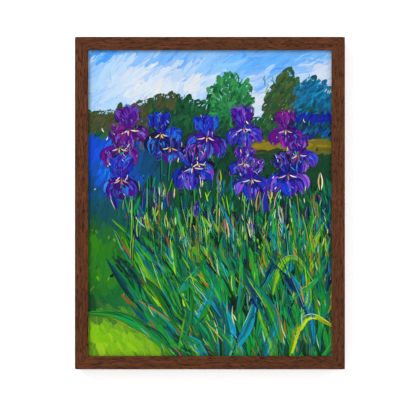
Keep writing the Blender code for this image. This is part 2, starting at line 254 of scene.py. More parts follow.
class NodeGroup:
    """A node group with named inputs and outputs."""

    def __init__(self, name: str, kind: str, inputs: list[tuple], outputs: list[tuple]) -> None:
        """Makes the empty group.

        Args:
            name: the group's name.
            kind: the tree's type name.
            inputs: each socket's name, type and default, which may be None.
            outputs: each socket's name and type.
        """
        self.tree = bpy.data.node_groups.new(name, kind)
        for label, socket, default in inputs:
            made = self.tree.interface.new_socket(label, in_out="INPUT", socket_type=socket)
            if default is not None:
                made.default_value = default
        for label, socket in outputs:
            self.tree.interface.new_socket(label, in_out="OUTPUT", socket_type=socket)
        self.wiring = Wiring(self.tree)
        self.start = self.tree.nodes.new("NodeGroupInput").outputs
        self.end = self.tree.nodes.new("NodeGroupOutput").inputs

    def give(self, label: str, value: bpy.types.NodeSocket) -> None:
        """Joins a value to one of the group's outputs."""
        self.tree.links.new(value, self.end[label])


FLOAT, VECTOR, COLOUR = "NodeSocketFloat", "NodeSocketVector", "NodeSocketColor"
GEOMETRY, MATERIAL, WHOLE = "NodeSocketGeometry", "NodeSocketMaterial", "NodeSocketInt"


def wood_grain_group() -> bpy.types.NodeTree:
    """Long figure, fine fibres and open pores of wood whose grain runs along X.

    Returns:
        The shader group.
    """
    sockets = [("Position", VECTOR, None), ("Figure Scale", FLOAT, 60.0), ("Pore Scale", FLOAT, 900.0)]
    group = NodeGroup(
        "wood grain", "ShaderNodeTree", sockets,
        [("Figure", FLOAT), ("Fibre", FLOAT), ("Pores", FLOAT), ("Height", FLOAT)]
    )
    wire, given = group.wiring, group.start
    long_way = wire.vector("MULTIPLY", given["Position"], (0.07, 1.0, 1.0))
    drift = wire.noise(long_way, 18.0, 2.0)
    bent = wire.vector(
        "ADD", long_way,
        wire.add(
            "ShaderNodeCombineXYZ",
            {"Y": wire.math("MULTIPLY", drift, 0.012), "Z": wire.math("MULTIPLY", drift, 0.009)}
        ).outputs[0]
    )
    figure = wire.noise(
        wire.vector(
            "MULTIPLY", bent,
            wire.add(
                "ShaderNodeCombineXYZ",
                {"X": given["Figure Scale"], "Y": given["Figure Scale"], "Z": given["Figure Scale"]}
            ).outputs[0]
        ),
        1.0, 4.0, 0.62
    )
    fibre = wire.noise(wire.vector("MULTIPLY", given["Position"], (26.0, 1500.0, 1500.0)), 1.0, 2.0, 0.6)
    stretched = wire.vector("MULTIPLY", given["Position"], (0.055, 1.0, 1.0))
    pits = wire.noise(
        wire.vector(
            "MULTIPLY", stretched,
            wire.add(
                "ShaderNodeCombineXYZ",
                {"X": given["Pore Scale"], "Y": given["Pore Scale"], "Z": given["Pore Scale"]}
            ).outputs[0]
        ),
        1.0, 1.0, 0.5
    )
    streaks = wire.noise(wire.vector("MULTIPLY", given["Position"], (95.0, 620.0, 620.0)), 1.0, 2.0, 0.6)
    pores = wire.math(
        "MAXIMUM", wire.math("MULTIPLY", wire.ramp(pits, 0.54, 0.66), 0.7), wire.ramp(streaks, 0.52, 0.64)
    )
    height = wire.math("SUBTRACT", wire.math("MULTIPLY", fibre, 0.4), pores)
    group.give("Figure", wire.ramp(figure, 0.32, 0.68))
    group.give("Fibre", fibre)
    group.give("Pores", pores)
    group.give("Height", height)
    return group.tree


def handling_group() -> bpy.types.NodeTree:
    """Smudges, fine scratches and settled dust of a thing that is handled and hung.

    Returns:
        The shader group.
    """
    group = NodeGroup(
        "handling", "ShaderNodeTree", [("Position", VECTOR, None), ("Scale", FLOAT, 1.0)],
        [("Smudge", FLOAT), ("Scratch", FLOAT), ("Dust", FLOAT)]
    )
    wire, given = group.wiring, group.start
    grown = wire.add(
        "ShaderNodeVectorMath", {0: given["Position"], 3: given["Scale"]}, operation="SCALE"
    ).outputs[0]
    smudge = wire.noise(grown, 40.0, 4.0, 0.6)
    streaks = wire.noise(wire.vector("MULTIPLY", grown, (90.0, 2600.0, 700.0)), 1.0, 2.0, 0.5)
    dust = wire.noise(grown, 1900.0, 2.0, 0.7)
    group.give("Smudge", wire.ramp(smudge, 0.35, 0.65))
    group.give("Scratch", wire.ramp(streaks, 0.58, 0.72))
    group.give("Dust", wire.math("MULTIPLY", wire.ramp(dust, 0.55, 0.75), wire.ramp(smudge, 0.4, 0.6)))
    return group.tree


def linen_weave_group() -> bpy.types.NodeTree:
    """Plain weave of round threads over and under each other, with a mask of the low places between them
    where painted shade goes.

    Returns:
        The shader group.
    """
    group = NodeGroup(
        "linen weave", "ShaderNodeTree", [("Cloth", VECTOR, None), ("Threads", FLOAT, 1700.0)],
        [("Height", FLOAT), ("Gap", FLOAT), ("Slub", FLOAT)]
    )
    wire, given = group.wiring, group.start
    wander = wire.noise(given["Cloth"], 45.0, 2.0)
    shifted = wire.vector(
        "ADD", given["Cloth"],
        wire.add(
            "ShaderNodeCombineXYZ",
            {"X": wire.math("MULTIPLY", wander, 0.0008), "Y": wire.math("MULTIPLY", wander, -0.0007)}
        ).outputs[0]
    )
    parts = wire.add("ShaderNodeSeparateXYZ", {0: shifted}).outputs
    turn = wire.math("MULTIPLY", given["Threads"], math.pi)
    warp = wire.math("SINE", wire.math("MULTIPLY", parts["X"], turn))
    weft = wire.math("SINE", wire.math("MULTIPLY", parts["Y"], turn))
    over = wire.math("GREATER_THAN", wire.math("MULTIPLY", warp, weft), 0.0)
    up = wire.math("ABSOLUTE", warp)
    across = wire.math("ABSOLUTE", weft)
    first = wire.math("MULTIPLY", up, wire.ramp(over, 0.0, 1.0, 0.55, 1.0))
    second = wire.math("MULTIPLY", across, wire.ramp(over, 0.0, 1.0, 1.0, 0.55))
    height = wire.math("MAXIMUM", first, second)
    slub = wire.noise(wire.vector("MULTIPLY", given["Cloth"], (60.0, 1700.0, 1.0)), 1.0, 2.0)
    group.give("Height", height)
    # High where the weave is low: marks where painted shade goes between the threads.
    group.give("Gap", wire.ramp(height, 0.25, 0.6, 1.0, 0.0))
    group.give("Slub", slub)
    return group.tree


def bristle_group() -> bpy.types.NodeTree:
    """Streaks that a hog brush leaves along a stroke, from the stroke's own coordinates.

    Returns:
        The shader group.
    """
    group = NodeGroup(
        "bristle streaks", "ShaderNodeTree", [("Stroke", VECTOR, None), ("Across", FLOAT, 0.0)],
        [("Streak", FLOAT), ("Height", FLOAT)]
    )
    wire, given = group.wiring, group.start
    parts = wire.add("ShaderNodeSeparateXYZ", {0: given["Stroke"]}).outputs
    place = wire.add(
        "ShaderNodeCombineXYZ",
        {
            "X": wire.math("MULTIPLY", parts["X"], 38.0), "Y": wire.math("MULTIPLY", given["Across"], 5.0),
            "Z": wire.math("MULTIPLY", parts["Z"], 7.31)
        }
    ).outputs[0]
    streak = wire.noise(place, 1.0, 2.0, 0.6)
    hairs = wire.noise(wire.vector("MULTIPLY", place, (1.4, 5.5, 1.0)), 1.0, 1.0, 0.5)
    group.give("Streak", wire.ramp(streak, 0.36, 0.64))
    group.give(
        "Height", wire.math("ADD", wire.math("MULTIPLY", streak, 0.7), wire.math("MULTIPLY", hairs, 0.5))
    )
    return group.tree


class Effects:
    """The shader groups that finishes share, each made once."""

    def __init__(self) -> None:
        """Builds the groups."""
        self.grain = wood_grain_group()
        self.handling = handling_group()
        self.weave = linen_weave_group()
        self.bristles = bristle_group()


class Surface:
    """A new material with its Principled shader, and the nodes that feed it."""

    def __init__(self, name: str, values: dict[str, object]) -> None:
        """Makes the material.

        Args:
            name: the material's name.
            values: constants for the shader's own sockets, by socket name.
        """
        self.material = bpy.data.materials.new(name)
        self.material.use_nodes = True
        self.wire = Wiring(self.material.node_tree)
        self.shader = self.material.node_tree.nodes["Principled BSDF"]
        for label, value in values.items():
            self.shader.inputs[label].default_value = value

    def feed(self, label: str, value: bpy.types.NodeSocket) -> None:
        """Joins a value to one of the shader's inputs."""
        self.material.node_tree.links.new(value, self.shader.inputs[label])

    def group(self, tree: bpy.types.NodeTree, inputs: dict[str, object]) -> bpy.types.NodeOutputs:
        """Places a shared effect.

        Args:
            tree: the effect's group.
            inputs: its inputs by name.

        Returns:
            The group's outputs.
        """
        node = self.material.node_tree.nodes.new("ShaderNodeGroup")
        node.node_tree = tree
        for label, value in inputs.items():
            if isinstance(value, bpy.types.NodeSocket):
                self.material.node_tree.links.new(value, node.inputs[label])
            else:
                node.inputs[label].default_value = value
        return node.outputs

    def place(
        self, turn: tuple[float, float, float] = (0, 0, 0), shift: tuple[float, float, float] = (0, 0, 0)
    ) -> bpy.types.NodeSocket:
        """The piece's own coordinates.

        Args:
            turn: the angles that the pattern is turned by.
            shift: how far it is moved, so that no two pieces show the same part of it.

        Returns:
            The coordinates' output.
        """
        where = self.wire.add("ShaderNodeTexCoord").outputs["Object"]
        return self.wire.add(
            "ShaderNodeMapping", {"Vector": where, "Rotation": turn, "Location": shift}
        ).outputs[0]

    def bump(self, height: bpy.types.NodeSocket, distance: float, strength: float = 1.0) -> None:
        """Lets a height tilt the light on the surface.

        Args:
            height: the height, from 0 to 1.
            distance: how deep 1 is.
            strength: how much of it shows.
        """
        inputs = {"Strength": strength, "Distance": distance, "Height": height}
        self.feed("Normal", self.wire.add("ShaderNodeBump", inputs).outputs[0])


# ---------------------------------------------------------------------------------------------
# Finishes
# ---------------------------------------------------------------------------------------------


class Grain(Enum):
    """Which way a piece's wood grain runs, as the turn that lays it along X."""

    LEVEL = (0.0, 0.0, 0.0)
    UPRIGHT = (0.0, math.pi / 2, 0.0)


class Side(Enum):
    """The sides of the frame and of the stretcher."""

    TOP = "top"
    BOTTOM = "bottom"
    LEFT = "left"
    RIGHT = "right"

    @property
    def grain(self) -> Grain:
        """The way the wood of this side runs."""
        return Grain.LEVEL if self in (Side.TOP, Side.BOTTOM) else Grain.UPRIGHT


SIDES = tuple(Side)
CORNERS = ("top_left", "top_right", "bottom_left", "bottom_right")


@dataclass(frozen=True)
class WoodFinish:
    """Stained or raw wood."""

    name: str
    pale: np.ndarray
    deep: np.ndarray
    pore: np.ndarray
    figure_scale: float
    pore_scale: float
    pore_share: float
    roughness: float
    dust_share: float = 0.12

    def material(self, effects: Effects, grain: Grain, shift: float = 0.0) -> bpy.types.Material:
        """The finish on a piece whose grain runs one way.

        Args:
            effects: the shared groups.
            grain: the way the grain runs.
            shift: moves the figure, so that neighbours differ.

        Returns:
            The material.
        """
        made = Surface(
            f"{self.name}_{grain.name.lower()}_{int(shift * 100)}", {"IOR": 1.5, "Specular IOR Level": 0.16}
        )
        place = made.place(grain.value, (shift, shift * 0.7, shift * 1.3))
        wood = made.group(
            effects.grain,
            {"Position": place, "Figure Scale": self.figure_scale, "Pore Scale": self.pore_scale}
        )
        worn = made.group(effects.handling, {"Position": place, "Scale": 1.0})
        wire = made.wire
        body = wire.mix(wood["Figure"], opaque(self.pale), opaque(self.deep))
        fibred = wire.mix(wire.ramp(wood["Fibre"], 0.35, 0.65, 0.0, 0.45), body, opaque(self.deep * 0.75))
        pored = wire.mix(wire.math("MULTIPLY", wood["Pores"], self.pore_share), fibred, opaque(self.pore))
        dusty = wire.mix(
            wire.math("MULTIPLY", worn["Dust"], self.dust_share), pored, opaque(pigment(176, 160, 142))
        )
        made.feed("Base Color", dusty)
        rough = wire.math(
            "ADD", wire.ramp(worn["Smudge"], 0.0, 1.0, self.roughness - 0.06, self.roughness + 0.07),
            wire.math("MULTIPLY", wood["Pores"], 0.2)
        )
        made.feed("Roughness", rough)
        made.bump(wood["Height"], 0.00016, 0.8)
        return made.material


@dataclass(frozen=True)
class MetalFinish:
    """Plated or bare metal."""

    name: str
    colour: np.ndarray
    tarnish: np.ndarray
    roughness: float
    tarnish_share: float

    def material(self, effects: Effects) -> bpy.types.Material:
        """The finish as a material.

        Args:
            effects: the shared groups.

        Returns:
            The material.
        """
        made = Surface(self.name, {"Metallic": 1.0})
        worn = made.group(effects.handling, {"Position": made.place(), "Scale": 3.0})
        wire = made.wire
        cloudy = wire.mix(
            wire.math("MULTIPLY", worn["Smudge"], self.tarnish_share), opaque(self.colour),
            opaque(self.tarnish)
        )
        marked = wire.mix(wire.math("MULTIPLY", worn["Scratch"], 0.35), cloudy, opaque(self.colour * 1.25))
        dusty = wire.mix(wire.math("MULTIPLY", worn["Dust"], 0.25), marked, opaque(pigment(150, 146, 138)))
        made.feed("Base Color", dusty)
        made.feed(
            "Roughness", wire.ramp(worn["Smudge"], 0.0, 1.0, self.roughness - 0.07, self.roughness + 0.12)
        )
        made.bump(wire.math("ADD", worn["Scratch"], worn["Dust"]), 0.00004, 0.6)
        return made.material


@dataclass(frozen=True)
class RubberFinish:
    """Moulded rubber with a matt skin."""

    name: str
    colour: np.ndarray

    def material(self, effects: Effects) -> bpy.types.Material:
        """The finish as a material.

        Args:
            effects: the shared groups.

        Returns:
            The material.
        """
        made = Surface(self.name, {"Specular IOR Level": 0.3})
        worn = made.group(effects.handling, {"Position": made.place(), "Scale": 4.0})
        wire = made.wire
        cloudy = wire.mix(worn["Smudge"], opaque(self.colour), opaque(self.colour * 1.6))
        made.feed(
            "Base Color",
            wire.mix(wire.math("MULTIPLY", worn["Dust"], 0.5), cloudy, opaque(pigment(160, 155, 148)))
        )
        made.feed("Roughness", wire.ramp(worn["Smudge"], 0.0, 1.0, 0.55, 0.75))
        made.bump(worn["Dust"], 0.00005, 0.7)
        return made.material


@dataclass(frozen=True)
class ClothFinish:
    """Primed linen, by the cloth's own flat coordinates, with painted shade in the gaps between the
    threads.
    """

    name: str
    thread: np.ndarray
    gap: np.ndarray
    # The gap colour is painted shade for the hollows between the threads.
    threads: float = CLOTH_THREADS

    def material(self, effects: Effects) -> bpy.types.Material:
        """The finish as a material.

        Args:
            effects: the shared groups.

        Returns:
            The material.
        """
        made = Surface(self.name, {"Specular IOR Level": 0.2, "Sheen Weight": 0.15, "Sheen Roughness": 0.6})
        wire = made.wire
        cloth = wire.add("ShaderNodeUVMap", uv_map=CLOTH_UV).outputs[0]
        woven = made.group(effects.weave, {"Cloth": cloth, "Threads": self.threads})
        worn = made.group(effects.handling, {"Position": made.place(), "Scale": 0.5})
        slubbed = wire.mix(
            wire.ramp(woven["Slub"], 0.4, 0.7, 0.0, 0.5), opaque(self.thread), opaque(self.thread * 0.78)
        )
        # Darkens the threads' colour towards the gap colour where the weave dips: painted shade between the
        # threads.
        woven_with_gap_shade = wire.mix(wire.math("MULTIPLY", woven["Gap"], 0.7), slubbed, opaque(self.gap))
        soiled = wire.mix(
            wire.math("MULTIPLY", worn["Smudge"], 0.2), woven_with_gap_shade, opaque(pigment(196, 180, 150))
        )
        made.feed("Base Color", soiled)
        made.feed("Roughness", wire.ramp(woven["Height"], 0.0, 1.0, 0.95, 0.8))
        made.bump(
            wire.math("ADD", woven["Height"], wire.math("MULTIPLY", woven["Slub"], 0.4)), 0.00014, 0.9
        )
        return made.material


@dataclass(frozen=True)
class PaintFinish:
    """Oil paint whose colour each stroke carries, streaked by the brush, with painted shade in the grooves
    between the bristle ridges.
    """

    name: str
    roughness: float
    streaks: float
    weave: float = 0.0

    def material(self, effects: Effects) -> bpy.types.Material:
        """The finish as a material.

        Args:
            effects: the shared groups.

        Returns:
            The material.
        """
        made = Surface(self.name, {"IOR": 1.48, "Specular IOR Level": 0.12})
        wire = made.wire
        tint = wire.add("ShaderNodeAttribute", attribute_name="tint").outputs["Color"]
        other = wire.add("ShaderNodeAttribute", attribute_name="tint_two").outputs["Color"]
        stroke = wire.add("ShaderNodeAttribute", attribute_name="stroke").outputs["Vector"]
        across = wire.add("ShaderNodeAttribute", attribute_name="across").outputs["Fac"]
        brushed = made.group(effects.bristles, {"Stroke": stroke, "Across": across})
        worn = made.group(effects.handling, {"Position": made.place(), "Scale": 1.0})
        woven = made.group(
            effects.weave, {"Cloth": made.place((math.pi / 2, 0, 0)), "Threads": CLOTH_THREADS}
        )
        streaked = wire.mix(wire.math("MULTIPLY", brushed["Streak"], self.streaks), tint, other)
        # Darkens the colour where the bristle height is low: painted shade in the grooves between the
        # bristle ridges.
        painted_groove_shade = wire.mix(wire.ramp(brushed["Height"], 0.3, 0.8, 0.35, 0.0), streaked, streaked, "MULTIPLY")
        made.feed("Base Color", painted_groove_shade)
        made.feed(
            "Roughness", wire.ramp(worn["Smudge"], 0.0, 1.0, self.roughness - 0.08, self.roughness + 0.1)
        )
        relief = wire.math("ADD", brushed["Height"], wire.math("MULTIPLY", woven["Height"], self.weave))
        made.bump(relief, 0.00022, 0.85)
        return made.material


# ---------------------------------------------------------------------------------------------
# Meshes
# ---------------------------------------------------------------------------------------------


def settled(name: str, source: bpy.types.Object) -> bpy.types.Object:
    """Turns what an object's modifiers make into a plain mesh of its own, and removes the object.

    Args:
        name: the new piece's name.
        source: the object with its modifiers.

    Returns:
        The new piece.
    """
    evaluated = source.evaluated_get(bpy.context.evaluated_depsgraph_get())
    mesh = bpy.data.meshes.new_from_object(evaluated)
    bpy.data.objects.remove(source)
    mesh.name = name
    piece = bpy.data.objects.new(name, mesh)
    bpy.context.scene.collection.objects.link(piece)
    return piece


def run_tree(
    name: str, mesh: bpy.types.Mesh, tree: bpy.types.NodeTree, values: dict[str, object]
) -> bpy.types.Object:
    """Runs a Geometry Nodes tree on a mesh.

    Args:
        name: the finished piece's name.
        mesh: what the tree works on.
        tree: the tree.
        values: its inputs by name, each set by its socket's identifier.

    Returns:
        The finished piece, a plain mesh.
    """
    carrier = bpy.data.objects.new(name + "_path", mesh)
    bpy.context.scene.collection.objects.link(carrier)
    change = carrier.modifiers.new("nodes", "NODES")
    change.node_group = tree
    for item in tree.interface.items_tree:
        if item.item_type == "SOCKET" and item.in_out == "INPUT" and item.name in values:
            change[item.identifier] = values[item.name]
    return settled(name, carrier)


def put(piece: bpy.types.Object, slot: str, *stands_for: str) -> bpy.types.Object:
    """Rides a finished piece on the picture.

    Args:
        piece: the piece.
        slot: a material slot named in the record; not used.
        stands_for: the CAD nodes that it is shown in place of.

    Returns:
        The piece.
    """
    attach(piece, BODY)
    if stands_for:
        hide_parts(*stands_for)
    log.info("%s: %d faces", piece.name, len(piece.data.polygons))
    return piece


# ---------------------------------------------------------------------------------------------
# Brushwork
# ---------------------------------------------------------------------------------------------


@dataclass
class Easel:
    """Where the painted face is, and how far brush marks may go."""

    width_mm: float
    height_mm: float
    middle: Vector
    face_y: float
    margin_mm: float = 3.2
    lip_room_mm: float = 0.55

    def at(self, across: float, up: float) -> np.ndarray:
        """The point at these shares of the opening's width and height, in millimetres."""
        return np.array([across * self.width_mm, up * self.height_mm])

    def inside(self, points: np.ndarray) -> np.ndarray:
        """Keeps points on the cloth, a little way under the frame's lip at most."""
        high = np.array([self.width_mm, self.height_mm]) + self.margin_mm
        return np.clip(points, -self.margin_mm, high)

    def headroom(self, points: np.ndarray) -> np.ndarray:
        """How high paint may stand at each point, which is little beside the lip.

        Args:
            points: places in millimetres.

        Returns:
            Heights in millimetres.
        """
        size = np.array([self.width_mm, self.height_mm])
        gap = np.minimum(points, size - points).min(axis=1)
        return self.lip_room_mm + np.clip(gap - 1.0, 0, None) * 0.5


def smooth_path(points: np.ndarray, count: int) -> np.ndarray:
    """An even run of points on a smooth curve through a few.

    Args:
        points: the few points, in order.
        count: how many there are in the run.

    Returns:
        The run.
    """
    points = np.asarray(points, float)
    if len(points) == 2:
        share = np.linspace(0, 1, count)[:, None]
        return points[0] * (1 - share) + points[1] * share
    ends = np.vstack([2 * points[0] - points[1], points, 2 * points[-1] - points[-2]])
    dense = []
    steps = np.linspace(0, 1, 9)[:-1, None]
    for before, start, stop, after in zip(ends, ends[1:], ends[2:], ends[3:]):
        dense.append(
            0.5 * (
                2 * start + (stop - before) * steps + (
                    2 * before - 5 * start + 4 * stop - after
                ) * steps**2 + (3 * start - before - 3 * stop + after) * steps**3
            )
        )
    line = np.vstack([*dense, points[-1:]])
    run = np.concatenate([[0], np.cumsum(np.linalg.norm(np.diff(line, axis=0), axis=1))])
    spots = np.linspace(0, run[-1], count)
    return np.column_stack([np.interp(spots, run, line[:, i]) for i in range(2)])


def sideways(path: np.ndarray) -> np.ndarray:
    """The unit vectors square to a path, on its left."""
    along = np.gradient(path, axis=0)
    length = np.maximum(np.linalg.norm(along, axis=1, keepdims=True), 1e-9)
    along = along / length
    return np.column_stack([-along[:, 1], along[:, 0]])


@dataclass
class Layer:
    """Brush strokes that become one piece of paint."""

    name: str
    easel: Easel
    seed: int
    low_mm: float
    high_mm: float
    relief_mm: float
    rng: np.random.Generator = field(init=False)
    strokes: list[dict] = field(init=False, default_factory=list)

    def __post_init__(self) -> None:
        """Starts the layer's own random numbers."""
        self.rng = np.random.default_rng(self.seed)

    def stroke(
        self, points: object, width: float, tint: np.ndarray, tint_two: np.ndarray | None = None,
        head: float = 0.18, tail: float = 0.35, lift: float | None = None, relief: float = 1.0,
        point: float = 0.12
    ) -> None:
        """Lays one stroke.

        Args:
            points: a few places it passes, in millimetres.
            width: its full width in millimetres.
            tint: its main colour.
            tint_two: the colour that streaks it.
            head: the share of its length over which it swells.
            tail: the share over which it thins out.
            lift: how high its base lies, from 0 to 1 between the layer's two heights.
            relief: how thick it is, as a share of the layer's thickness.
            point: how wide its ends are, as a share of its width.
        """
        points = np.asarray(points, float)
        length = float(np.linalg.norm(np.diff(points, axis=0), axis=1).sum())
        if length < 0.8:
            return
        count = int(np.clip(length / 5.0, 4, 11)) + 1
        path = self.easel.inside(smooth_path(points, count))
        share = np.linspace(0, 1, count)
        swell = np.clip(share / max(head, 1e-3), 0, 1) ** 0.5 * (1 - point) + point
        thin = np.clip((1 - share) / max(tail, 1e-3), 0, 1) ** 0.6 * (1 - point) + point
        room = self.easel.headroom(path)
        place = self.rng.random() if lift is None else lift
        lifts = np.full(count, self.low_mm + (self.high_mm - self.low_mm) * place)
        thick = self.relief_mm * relief * (0.75 + 0.5 * self.rng.random()) * np.minimum(1, 0.35 + width / 9)
        scale = np.minimum(1, room / (lifts + thick))
        self.strokes.append(
            {
                "path": path,
                "half": width / 2 * swell * thin,
                "lift": lifts * scale,
                "relief": thick * scale * (0.55 + 0.45 * thin),
                "tint": tint,
                "tint_two": tint if tint_two is None else tint_two,
                "share": share,
                "length": length,
            }
        )

    def path_mesh(self) -> bpy.types.Mesh:
        """Every stroke's run of points, each carrying what the tree needs.

        Returns:
            A mesh of edges in a flat XY plane.
        """
        counts = np.array([len(s["path"]) for s in self.strokes])
        starts = np.concatenate([[0], np.cumsum(counts)[:-1]])
        edges = np.concatenate(
            [np.column_stack([np.arange(n - 1), np.arange(1, n)]) + s for n, s in zip(counts, starts)]
        )
        flat = np.concatenate([s["path"] for s in self.strokes])
        middle = np.array([self.easel.width_mm, self.easel.height_mm]) / 2
        spots = (flat - middle) * MM
        spots = np.column_stack([spots, np.zeros(len(spots))])
        mesh = bpy.data.meshes.new(self.name + "_path")
        mesh.vertices.add(len(spots))
        mesh.vertices.foreach_set("co", spots.astype(np.float32).ravel())
        mesh.edges.add(len(edges))
        mesh.edges.foreach_set("vertices", edges.astype(np.int32).ravel())
        for label in ("half", "lift", "relief"):
            values = np.concatenate([s[label] for s in self.strokes]) * MM
            mesh.attributes.new(label, "FLOAT", "POINT").data.foreach_set(
                "value", values.astype(np.float32)
            )
        for label in ("tint", "tint_two"):
            values = np.repeat(np.array([[*s[label], 1.0] for s in self.strokes]), counts, axis=0)
            mesh.attributes.new(label, "FLOAT_COLOR", "POINT").data.foreach_set(
                "color", values.astype(np.float32).ravel()
            )
        own = [
            np.column_stack([s["share"] * s["length"] * MM, s["share"], np.full(len(s["path"]), i)])
            for i, s in enumerate(self.strokes)
        ]
        stroke = mesh.attributes.new("stroke", "FLOAT_VECTOR", "POINT")
        stroke.data.foreach_set("vector", np.concatenate(own).astype(np.float32).ravel())
        mesh.update()
        return mesh

    def build(self, tree: bpy.types.NodeTree, material: bpy.types.Material) -> bpy.types.Object:
        """Turns the strokes into paint in relief.

        Args:
            tree: the Geometry Nodes tree that lays strokes.
            material: the paint.

        Returns:
            The finished piece.
        """
        piece = run_tree(self.name, self.path_mesh(), tree, {"Paint": material, "Seed": self.seed})
        mesh = piece.data
        spots = np.empty(len(mesh.vertices) * 3, np.float32)
        mesh.vertices.foreach_get("co", spots)
        spots = spots.reshape(-1, 3) + np.array(
            [self.easel.middle.x, self.easel.face_y, self.easel.middle.z], np.float32
        )
        mesh.vertices.foreach_set("co", spots.ravel())
        if enclosed_volume(mesh) < 0:
            mesh.flip_normals()
        atlas(mesh, len(self.strokes))
        mesh.shade_smooth()
        return put(piece, "oil_paint")


def enclosed_volume(mesh: bpy.types.Mesh) -> float:
    """The volume inside a mesh, below nothing where its faces point inwards."""
    mesh.calc_loop_triangles()
    corners = np.empty(len(mesh.loop_triangles) * 3, np.int32)
    mesh.loop_triangles.foreach_get("vertices", corners)
    spots = np.empty(len(mesh.vertices) * 3, np.float32)
    mesh.vertices.foreach_get("co", spots)
    a, b, c = spots.reshape(-1, 3)[corners.reshape(-1, 3)].astype(float).transpose(1, 0, 2)
    return float((a * np.cross(b, c)).sum() / 6)


def read_attribute(mesh: bpy.types.Mesh, name: str, kind: str, width: int) -> np.ndarray:
    """A point attribute's values, a row for each point."""
    values = np.empty(len(mesh.vertices) * width, np.float32)
    mesh.attributes[name].data.foreach_get(kind, values)
    return values.reshape(-1, width)


def atlas(mesh: bpy.types.Mesh, count: int) -> None:
    """Gives each stroke a cell of its own in one flat map, its back in a strip beside its face.

    Args:
        mesh: the strokes' mesh.
        count: how many strokes it holds.
    """
    across = read_attribute(mesh, "across", "value", 1)[:, 0]
    stroke = read_attribute(mesh, "stroke", "vector", 3)
    loops = np.empty(len(mesh.loops), np.int32)
    mesh.loops.foreach_get("vertex_index", loops)
    starts = np.empty(len(mesh.polygons), np.int32)
    totals = np.empty(len(mesh.polygons), np.int32)
    mesh.polygons.foreach_get("loop_start", starts)
    mesh.polygons.foreach_get("loop_total", totals)
    owner = np.repeat(np.arange(len(starts)), totals)
    side, run, number = across[loops], stroke[loops, 1], np.rint(stroke[loops, 2]).astype(int)
    low = np.full(len(starts), 9.0)
    high = np.full(len(starts), -9.0)
    np.minimum.at(low, owner, side)
    np.maximum.at(high, owner, side)
    cap = (totals > 4)[owner]
    back = ((high - low) > 0.9)[owner] & ~cap
    u = 0.04 + 0.86 * run
    v = np.where(back, 0.86 + 0.1 * side, 0.04 + 0.76 * side)
    angle = (side * 2 - 1) * 2.6
    u = np.where(cap, np.where(run > 0.5, 0.965, 0.945) + 0.008 * np.cos(angle), u)
    v = np.where(cap, 0.4 + 0.3 * np.sin(angle), v)
    columns = max(1, int(math.ceil(math.sqrt(count / 4))))
    rows = int(math.ceil(count / columns))
    placed = np.column_stack([(number % columns + u) / columns, (number // columns + v) / rows])
    sheet = mesh.uv_layers.new(name="OFBake")
    sheet.data.foreach_set("uv", placed.astype(np.float32).ravel())


def stroke_tree() -> bpy.types.NodeTree:
    """The tree that sweeps a bristle-ridged section along every run of points.

    Returns:
        The Geometry Nodes tree.
    """
    sockets = [
        ("Geometry", GEOMETRY, None), ("Paint", MATERIAL, None), ("Bristles", WHOLE, 7),
        ("Ridge", FLOAT, 0.55), ("Seed", WHOLE, 1)
    ]
    group = NodeGroup("lay strokes", "GeometryNodeTree", sockets, [("Geometry", GEOMETRY)])
    wire, given = group.wiring, group.start
    half = wire.named("half")
    lift = wire.named("lift")
    relief = wire.named("relief")
    rise = wire.named("rise")
    stroke = wire.named("stroke", "FLOAT_VECTOR")
    bristle = wire.named("bristle")
    curve = wire.add("GeometryNodeMeshToCurve", {"Mesh": given["Geometry"]}).outputs[0]
    curve = wire.add("GeometryNodeSetCurveNormal", {"Curve": curve}, mode="Z_UP").outputs[0]

    section = wire.add(
        "GeometryNodeCurveArc",
        {"Resolution": given["Bristles"], "Radius": 1.0, "Start Angle": 0.0, "Sweep Angle": math.pi},
        mode="RADIUS"
    ).outputs[0]
    number = wire.add("GeometryNodeInputIndex").outputs[0]
    last = wire.math("SUBTRACT", given["Bristles"], 1.0)
    place = wire.add("GeometryNodeInputPosition").outputs[0]
    section = wire.store(section, "across", wire.math("DIVIDE", number, last))
    section = wire.store(section, "bristle", number)
    height = wire.add("ShaderNodeSeparateXYZ", {0: place}).outputs["Y"]
    section = wire.store(section, "rise", height)
    section = wire.add("GeometryNodeSetSplineCyclic", {"Geometry": section, "Cyclic": True}).outputs[0]
    ribbon = wire.add(
        "GeometryNodeCurveToMesh",
        {"Curve": curve, "Profile Curve": section, "Scale": half, "Fill Caps": True}
    ).outputs[0]

    parts = wire.add("ShaderNodeSeparateXYZ", {0: place}).outputs
    own = wire.add("ShaderNodeSeparateXYZ", {0: stroke}).outputs["Z"]
    mark = wire.math("ADD", wire.math("MULTIPLY", own, 31.0), bristle)
    chance = wire.add(
        "FunctionNodeRandomValue", {2: 0.0, 3: 1.0, "ID": mark, "Seed": given["Seed"]}, data_type="FLOAT"
    ).outputs[1]
    ridge = wire.math("SUBTRACT", 1.0, wire.math("MULTIPLY", chance, given["Ridge"]))
    dome = wire.math(
        "MULTIPLY", wire.math("MULTIPLY", wire.math("POWER", wire.math("MAXIMUM", rise, 0.0), 0.6), relief),
        ridge
    )
    shaped = wire.add(
        "ShaderNodeCombineXYZ", {"X": parts["X"], "Y": parts["Y"], "Z": wire.math("ADD", lift, dome)}
    ).outputs[0]
    ribbon = wire.add("GeometryNodeSetPosition", {"Geometry": ribbon, "Position": shaped}).outputs[0]
    quarter = wire.add("FunctionNodeEulerToRotation", {0: (math.pi / 2, 0.0, 0.0)}).outputs[0]
    ribbon = wire.add("GeometryNodeTransform", {"Geometry": ribbon, "Rotation": quarter}).outputs[0]
    ribbon = wire.add("GeometryNodeRealizeInstances", {"Geometry": ribbon}).outputs[0]
    ribbon = wire.add(
        "GeometryNodeSetMaterial", {"Geometry": ribbon, "Material": given["Paint"]}
    ).outputs[0]
    group.give("Geometry", ribbon)
    return group.tree


# ---------------------------------------------------------------------------------------------
# The garden
# ---------------------------------------------------------------------------------------------

